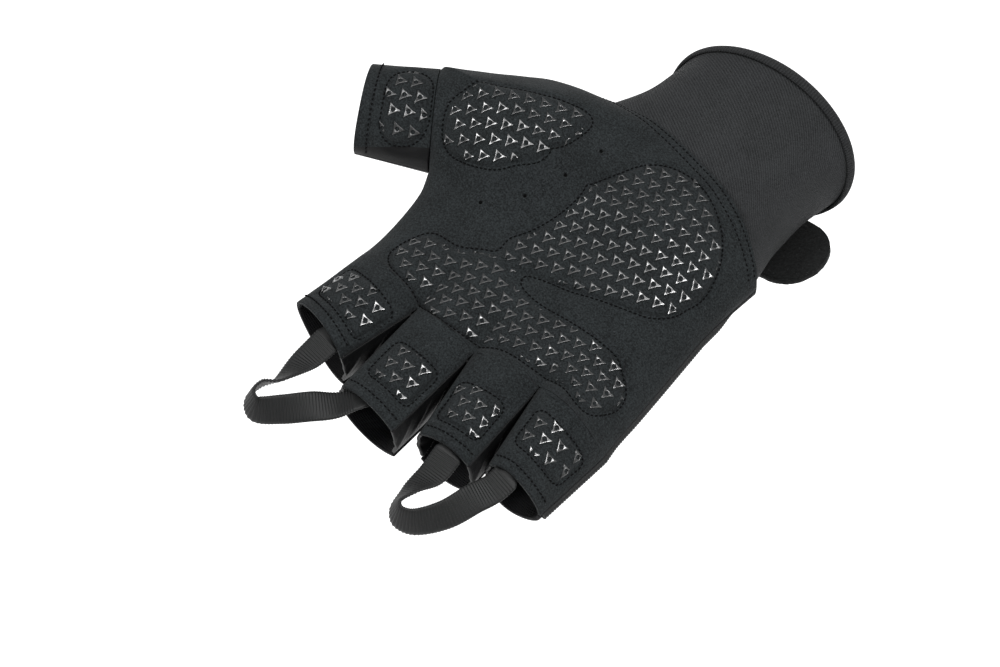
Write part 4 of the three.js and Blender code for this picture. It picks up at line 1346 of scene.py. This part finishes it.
def add_uv(piece, places):
    """UV map in metres from a place in millimetres for each point of the skin."""
    places = np.concatenate([places, places])
    layer = piece.data.uv_layers.new(name="UVMap")
    corners = np.zeros(len(piece.data.loops), np.int32)
    piece.data.loops.foreach_get("vertex_index", corners)
    layer.data.foreach_set("uv", (places[corners] * MM).astype(np.float32).ravel())


back_cloth, back_lifts = panel_cloth(-1, 24, 99, 26, no_relief)
back_panel = back_cloth.object("knit_back", KNIT, knit, back_lifts)
add_uv(back_panel, back_cloth.skin()[0][:, :2])
worn(back_panel, "back_panel", back_cloth)


# The thumb; its edge below the gusset column is black stretch cloth
THUMB_COLUMNS = 70
GUSSET_COLUMN = 53


def thumb_cloth(face, relief):
    cloth = Cloth()
    s = (1 - np.cos(np.linspace(0, math.pi, THUMB_COLUMNS))) / 2
    t = np.linspace(GAP / THUMB_LENGTH, 1, 60)
    grid_s, grid_t = np.meshgrid(s, t)
    points = thumb_point(grid_s, grid_t, face)
    points[..., 2] += face * GAP / 2
    lifts = relief(grid_s, grid_t, points).ravel()
    cloth.grid(cloth.add(points), face < 0)
    return cloth, lifts


def thumb_front_relief(s, t, points):
    seam = groove((1 - t) * THUMB_LENGTH - THUMB_HEM_SEAM, *HEM_GROOVE)
    return (thumb_relief(s, t, points) + seam) * edge_fade(s, THUMB_FADE)


for name, node, face, wall, material, slot, relief in (
    ("suede_thumb", "thumb_panel", 1, SUEDE, suede, "palm_suede", thumb_front_relief),
    ("stretch_thumb_back", "thumb_back", -1, LYCRA, lycra, "lycra", no_relief),
):
    cloth, lifts = thumb_cloth(face, relief)
    piece = cloth.object(name, wall, material, lifts)
    if face > 0:
        piece.data.materials.append(lycra)
        for polygon in piece.data.polygons:
            columns = [vertex % THUMB_COLUMNS for vertex in polygon.vertices]
            polygon.material_index = int(min(columns) >= GUSSET_COLUMN)
    worn(piece, node, cloth)


# The stretch walls between the fingers

def fourchette(index):
    """A wall that runs down one finger's side, round the root and up the next finger's side."""
    top = SUEDE * 0.4
    bottom = KNIT + 2 * GAP
    down = np.linspace(0, 1, 34)
    shares = np.linspace(WALL_START, 1, 60)
    first = finger_edge(index, 1, WALL_START, 1)
    last = finger_edge(index + 1, -1, WALL_START, 1)
    middle, half = (first + last) / 2, (last - first) / 2
    back = np.array([-half[1], half[0], 0])
    turns = np.linspace(0, math.pi, 14)[1:-1, None]
    arc = middle - half * np.cos(turns) + back * np.sin(turns)
    up, away = finger_edge(index, 1, shares[::-1], 1), finger_edge(index + 1, -1, shares, 1)
    line = np.concatenate([up, arc, away])
    bulge = WALL_BULGE * np.concatenate([shares[::-1], np.zeros(len(arc)), -shares])
    sag = np.sin(math.pi * down)
    points = np.repeat(line[:, None], len(down), 1)
    points[..., 2] = mix(FINGER_FRONT - top, FINGER_BACK + bottom, down)
    points[..., 0] += bulge[:, None] * sag
    run = run_along(line)[:, None]
    fold = 0
    for row in WALL_FOLDS:
        turns = run / row["length"] + row["lean"] * down + row["phase"]
        fold = fold + np.sin(2 * math.pi * turns) * row["height"]
    cloth = Cloth()
    cloth.grid(cloth.add(points), True)
    return cloth, (fold * sag).ravel()


for index in range(len(FINGERS) - 1):
    pair = FINGERS[index]["name"], FINGERS[index + 1]["name"]
    cloth, lifts = fourchette(index)
    piece = cloth.object("side_wall_%s_%s" % pair, LYCRA, lycra, lifts)
    worn(piece, "fourchette_%s_%s" % pair, cloth)


# The cuff, its binding and the strap

def ring_stations(cells):
    """Shares across and faces round the wrist: over the palm one way, over the back the other."""
    angle = np.arange(cells) / cells * 2 * math.pi
    return (1 - np.cos(angle)) / 2, np.sin(angle)


def rim_point(w, height):
    across = 0.5 * WRIST_WIDTH * (2 * w - 1)
    up = 0.5 * WRIST_DEPTH * height * math.cos(RIM_TILT)
    back = 0.5 * WRIST_DEPTH * height * math.sin(RIM_TILT) + RIM_CURVE * np.abs(height)
    x = across * math.cos(RIM_TURN) - back * math.sin(RIM_TURN)
    y = across * math.sin(RIM_TURN) + back * math.cos(RIM_TURN)
    return np.stack([x, y, up], -1)


def inset_point(w, height, v):
    """The hand's surface at a station of the wrist, set in by the panel and a gap."""
    v = np.broadcast_to(v, w.shape)
    total = np.zeros((*w.shape, 3))
    for face in (1, -1):
        surface = lambda a, b, face=face: hand_point(a, b, face)
        point = surface(w, v)
        normal = surface_normal(surface, w, v, face)
        normal[..., 2] = np.where(np.abs(height) < 1e-6, 0, normal[..., 2])
        moved = point - unit(normal) * (SUEDE + LAP_GAP)
        total = np.where((height * face >= 0)[..., None], moved, total)
    return total


def rim_frame(w, height):
    """Directions at the rim: on along the cuff's wall, and out from it."""
    ahead = rim_point(w, height) - inset_point(w, height, 0.0)
    ahead[..., 0] += 4 * CUFF_WAIST * (2 * w - 1) ** 3
    ahead = unit(ahead)
    out = unit(rim_point(w, height))
    out = unit(out - ahead * (out * ahead).sum(-1, keepdims=True))
    return ahead, out


def cuff_point(w, height, t):
    """The cuff's wall from the hand, at t 0, to the rim; below 0 it lies under the panels."""
    w, height, t = np.broadcast_arrays(w, height, np.asarray(t, float))
    under = inset_point(w, height, np.clip(-t, 0, 1) * LAP)
    ahead, out = rim_frame(w, height)
    end = rim_point(w, height) - (out + ahead) * (BINDING + GAP)
    point = mix(inset_point(w, height, 0.0), end, t[..., None])
    point[..., 0] -= CUFF_WAIST * 4 * t * (1 - t) * (2 * w - 1) ** 3
    return np.where((t <= 0)[..., None], under, point)


RING_CELLS = 260
ring_w, ring_height = ring_stations(RING_CELLS)


def unrolled(first, second):
    """Places on the flat cloth from a distance for each column and one for each row."""
    return np.stack(np.broadcast_arrays(first, second), -1).reshape(-1, 2)


def make_cuff():
    cloth = Cloth()
    t = np.concatenate([[-1, -0.5], np.linspace(0.0, 1, 80)])
    points = cuff_point(ring_w[None, :], ring_height[None, :], t[:, None])
    lift = waves(points, ((0.03, 0.02, 0.01), 0.16), ((-0.02, 0.06, 0.02), 0.1)).ravel()
    lift *= np.repeat(np.clip(np.minimum(t, 1 - t) * 6, 0, 1), RING_CELLS)
    cloth.grid(cloth.add(points), True, closed=True)
    piece = cloth.object("jersey_cuff", NEOPRENE, neoprene, lift)
    round_wrist = np.cumsum(np.full(RING_CELLS, WRIST_ROUND / RING_CELLS))
    add_uv(piece, unrolled(round_wrist[None, :], (t * CUFF_LENGTH)[:, None]))
    worn(piece, "cuff", cloth)


def make_binding():
    """Tape folded over the rim: a soft channel with fine ribs across it."""
    depth = 2 * (BINDING + GAP) + NEOPRENE
    half = depth / 2
    turns = np.linspace(-math.pi / 2, math.pi / 2, 13)
    inward = np.concatenate([[0.1, 0], half + half * np.sin(turns), [depth, depth - 0.1]])
    legs = [BINDING_WIDTH, 0.75 * BINDING_WIDTH]
    back = np.concatenate([legs, half - half * np.cos(turns), legs[::-1]])
    ahead, out = rim_frame(ring_w, ring_height)
    rim = rim_point(ring_w, ring_height)
    outer = rim[:, None] - out[:, None] * inward[:, None] - ahead[:, None] * back[:, None]
    cloth = Cloth()
    ids = cloth.add(outer)
    cloth.grid(ids)
    cloth.grid(np.concatenate([ids[-1:], ids[:1]]))
    if (cloth.normals().reshape(outer.shape) * out[:, None]).sum(-1)[:, 2].mean() < 0:
        cloth.turn_over()
    piece = cloth.object("rim_tape", 0.8, binding_cloth)
    round_wrist = np.arange(RING_CELLS) * WRIST_ROUND / RING_CELLS
    across = np.cumsum(np.concatenate([[0], np.hypot(np.diff(inward), np.diff(back))]))
    add_uv(piece, unrolled(across[None, :], round_wrist[:, None]))
    worn(piece, "cuff_binding", cloth)


def make_strap():
    """The strap over the back of the cuff, with its pile tab past the little-finger side."""
    side = np.linspace(-1, 1, 46)
    share = 0.5 * STRAP_WIDTH / CUFF_LENGTH
    surface = lambda w, t: cuff_point(w, -np.sqrt(np.maximum(1 - (2 * w - 1) ** 2, 0)), t)

    def spot(w, sides):
        t = STRAP_MIDDLE + sides * share
        w = np.broadcast_to(w, t.shape)
        return surface(w, t), surface_normal(surface, w, t)

    rows, normals = [], []
    for w in np.linspace(STRAP_START, STRAP_LEAVES, 60):
        point, normal = spot(w, side)
        rows.append(point)
        normals.append(normal)
    before, _ = spot(STRAP_LEAVES - 0.02, side[:1] * 0)
    after, _ = spot(STRAP_LEAVES + 0.02, side[:1] * 0)
    ahead = unit(after - before)[0]
    for out in np.linspace(0, 1, 40)[1:]:
        half = (1 - max(0.0, (out - 0.3) / 0.7) ** 2.6) ** 0.5 if out < 1 else 0.0
        point, normal = spot(STRAP_LEAVES, side * max(half, 0.12))
        rows.append(point + ahead * TAB_LENGTH * out)
        normals.append(normal)
    base = np.array(rows)
    normal = unit(np.array(normals))
    cloth = Cloth()
    cloth.grid(cloth.add(base + normal * (STRAP_GAP + STRAP_THICKNESS)))
    if (cloth.normals().reshape(base.shape) * normal).sum(-1).mean() < 0:
        cloth.turn_over()
    lift = PILE_ROUGHNESS * RNG.standard_normal(cloth.count)
    piece = cloth.object("pile_strap", STRAP_THICKNESS, pile, lift)
    worn(piece, "wrist_strap", cloth)


make_cuff()
make_binding()
make_strap()


# Pull loops of ribbed webbing

def loop_place(finger, first, last, course):
    """The course of a loop between the hems of two fingers, as a function of its station."""
    def end(index, share):
        point = finger_point(index, np.array(share), np.array(1.0), 1)
        point[2] -= LOOP_UNDER + 0.5 * LOOP_THICKNESS
        return point

    start, finish = end(finger, first), end(finger + 1, last)
    across = finish - start
    out = unit(np.array([across[1], -across[0], 0]))
    up = np.array([0, 0, 1.0])

    def place(at):
        at = np.asarray(at, float)
        side, reach, rise = [along(course, column, at)[..., None] for column in ("side", "out", "up")]
        return mix(start, finish, 0.5) + across * side + (out * reach + up * rise) * LOOP_REACH

    return place


def tucked_rows(finger, share, inside, sides, flip):
    """Rows of a loop's end under the finger's front, at distances inside from the hem."""
    t = 1 - np.asarray(inside, float) / (FINGER_LENGTH * FINGERS[finger]["length"])
    reach = 0.5 * LOOP_WIDTH / (FINGER_WIDTH * FINGERS[finger]["width"])
    surface = lambda a, b: finger_point(finger, a, b, 1)
    s = share + (-sides if flip else sides) * reach
    grid_s, grid_t = np.meshgrid(s, t)
    normal = surface_normal(surface, grid_s, grid_t)
    centre = surface(grid_s, grid_t) - normal * (LOOP_UNDER + 0.5 * LOOP_THICKNESS)
    return centre, normal


def pull_loop(name, node, finger, first, last, course):
    place = loop_place(finger, first, last, course)
    rough = place(np.linspace(0, 1, 400))
    length = np.linalg.norm(np.diff(rough, axis=0), axis=1).sum()
    cells = int(length / LOOP_RIB) * 6
    at = np.linspace(0.012, 0.988, cells)
    centre = place(at)
    tangent = unit(place(np.clip(at + 0.01, 0, 1)) - place(np.clip(at - 0.01, 0, 1)))
    level = unit(np.cross(tangent, np.array([0, 0, 1.0])))
    turn = np.radians(along(course, "turn", at))[:, None]
    width = level * np.cos(turn) + np.cross(tangent, level) * np.sin(turn)
    normal = np.cross(width, tangent)
    sides = np.linspace(-1, 1, 13)
    rows = centre[:, None] + width[:, None] * (0.5 * LOOP_WIDTH * sides)[None, :, None]
    normals = np.broadcast_to(normal[:, None], rows.shape)
    inside = np.linspace(LOOP_TUCK, 0.3, 20)
    head, head_normal = tucked_rows(finger, first, inside, sides, True)
    tail, tail_normal = tucked_rows(finger + 1, last, inside[::-1], sides, False)
    rows = np.concatenate([head, rows, tail])
    normals = unit(np.concatenate([head_normal, normals, tail_normal]))
    run = run_along(rows[:, len(sides) // 2])
    rib = LOOP_RIDGE * np.sin(2 * math.pi * run / LOOP_RIB)[:, None] * np.ones(len(sides))
    half = 0.5 * LOOP_THICKNESS + rib - np.abs(sides) ** 8 * LOOP_THIN_EDGE
    top = rows + normals * half[..., None]
    bottom = rows - normals * half[..., None]
    cloth = Cloth()
    ring = np.concatenate([top, bottom[:, ::-1]], 1)
    ids = cloth.add(ring)
    cloth.grid(ids, closed=True)
    points, quads = cloth.skin()
    outward = cloth.normals().reshape(ring.shape)[:, 6]
    if (outward * normals[:, 6]).sum(-1).mean() < 0:
        quads = quads[:, ::-1]
    caps = [list(ids[0]), list(ids[-1][::-1])]
    fitted(mesh_object(name, points, [*quads.tolist(), *caps], webbing), node)


pull_loop("ribbed_loop_index_middle", "pull_loop_index_middle", 0, 0.76, 0.31, INDEX_LOOP)
pull_loop("ribbed_loop_ring_little", "pull_loop_ring_little", 2, 0.62, 0.38, LITTLE_LOOP)


def make_edge_roll():
    """The ribbed edge of the back knit, rolled up along the little-finger side."""
    v = np.linspace(0.1, 1, 330)
    t = np.linspace(0, 0.97, 110)[1:]
    hand = outline_end("right", v)
    finger = finger_edge(len(FINGERS) - 1, 1, t, 1)
    line = np.concatenate([hand, finger])
    run = run_along(line)
    ahead = unit(np.gradient(line, axis=0))
    out = unit(np.cross(ahead, np.array([0, 0, 1.0])))
    if out[0, 0] < 0:
        out = -out
    up = np.cross(out, ahead)
    turns = np.arange(ROLL_SIDES) / ROLL_SIDES * 2 * math.pi
    ridges = ROLL_RADIUS + ROLL_RIDGE * np.sin(2 * math.pi * run / ROLL_RIB)
    radius = ease(run / ROLL_TAPER)[:, None] * ridges[:, None] + 0.02
    middle = line - np.array([0, 0, ROLL_DROP])
    spokes = out[:, None] * np.cos(turns)[:, None] + up[:, None] * np.sin(turns)[:, None]
    points = middle[:, None] + spokes * radius[..., None]
    cloth = Cloth()
    ids = cloth.add(points)
    cloth.grid(ids, closed=True)
    skin, quads = cloth.skin()
    if (cloth.normals().reshape(points.shape) * spokes).sum(-1).mean() < 0:
        quads = quads[:, ::-1]
        caps = [list(ids[0]), list(ids[-1][::-1])]
    else:
        caps = [list(ids[0][::-1]), list(ids[-1])]
    fitted(mesh_object("ribbed_edge", skin, [*quads.tolist(), *caps], webbing))


make_edge_roll()


# Seams of the palm, fingers and thumb
panel_seams = Seams()
w_line = np.linspace(0.02, 0.98, 200)
for inset in CUFF_SEAMS:
    v_line = np.full_like(w_line, inset / PALM_LENGTH)
    panel_seams.row(palm_skin(w_line, v_line) + np.array([0, 0, 0.05]))
s_line = np.linspace(0.04, 0.96, 60)
for index, finger in enumerate(FINGERS):
    t_line = np.full_like(s_line, 1 - HEM_SEAM / (FINGER_LENGTH * finger["length"]))
    line = finger_point(index, s_line, t_line, 1)
    line[:, 2] += GAP / 2
    panel_seams.row(line + palm_creases(line)[:, None] * np.array([0, 0, 1.0]))
t_line = np.full_like(s_line, 1 - THUMB_HEM_SEAM / THUMB_LENGTH)
line = thumb_point(s_line, t_line, 1)
line[:, 2] += GAP / 2
panel_seams.row(line)
for name, seams in (("pad_stitches", pad_seams), ("panel_stitches", panel_seams)):
    fitted(seams.object(name))


# Floor, light and camera

def stage():
    level = cad_box[0][2] - FLOOR_DROP * MM
    corners = [(x * FLOOR_SIZE, y * FLOOR_SIZE, level) for x, y in ((-1, -1), (1, -1), (1, 1), (-1, 1))]
    mesh = bpy.data.meshes.new("floor")
    mesh.from_pydata(corners, [], [(0, 1, 2, 3)])
    material, _, _ = new_material(
        "floor paper", FLOOR_COLOUR, 1.0, 0.0,
        Emission_Color=(1, 1, 1, 1), Emission_Strength=FLOOR_GLOW)
    mesh.materials.append(material)
    linked("floor", mesh)


def area_light(name, place, size, power):
    """A round lamp that points at the camera's target."""
    light = bpy.data.lights.new(name, "AREA")
    light.shape = "DISK"
    light.size = size
    light.energy = power
    lamp = linked(name, light)
    lamp.location = Vector(place)
    aim = Vector(CAMERA_TARGET) * MM - lamp.location
    lamp.rotation_euler = aim.to_track_quat("-Z", "Y").to_euler()


def camera():
    data = bpy.data.cameras.new("camera")
    data.lens = CAMERA_LENS
    data.sensor_width = 36
    holder = linked("camera", data)
    back = Vector((
        math.sin(CAMERA_AZIMUTH) * math.cos(CAMERA_ELEVATION),
        -math.cos(CAMERA_AZIMUTH) * math.cos(CAMERA_ELEVATION),
        math.sin(CAMERA_ELEVATION),
    ))
    holder.location = Vector(CAMERA_TARGET) * MM + back * CAMERA_DISTANCE * MM
    holder.rotation_euler = (-back).to_track_quat("-Z", "Y").to_euler()
    bpy.context.scene.camera = holder


def world():
    sky = bpy.data.worlds.new("studio")
    sky.use_nodes = True
    shade = sky.node_tree.nodes["Background"]
    shade.inputs["Color"].default_value = (1, 1, 1, 1)
    shade.inputs["Strength"].default_value = SKY_STRENGTH
    bpy.context.scene.world = sky


stage()
world()
for lamp in LAMPS:
    area_light(**lamp)
camera()
bpy.context.scene.view_settings.view_transform = "Standard"
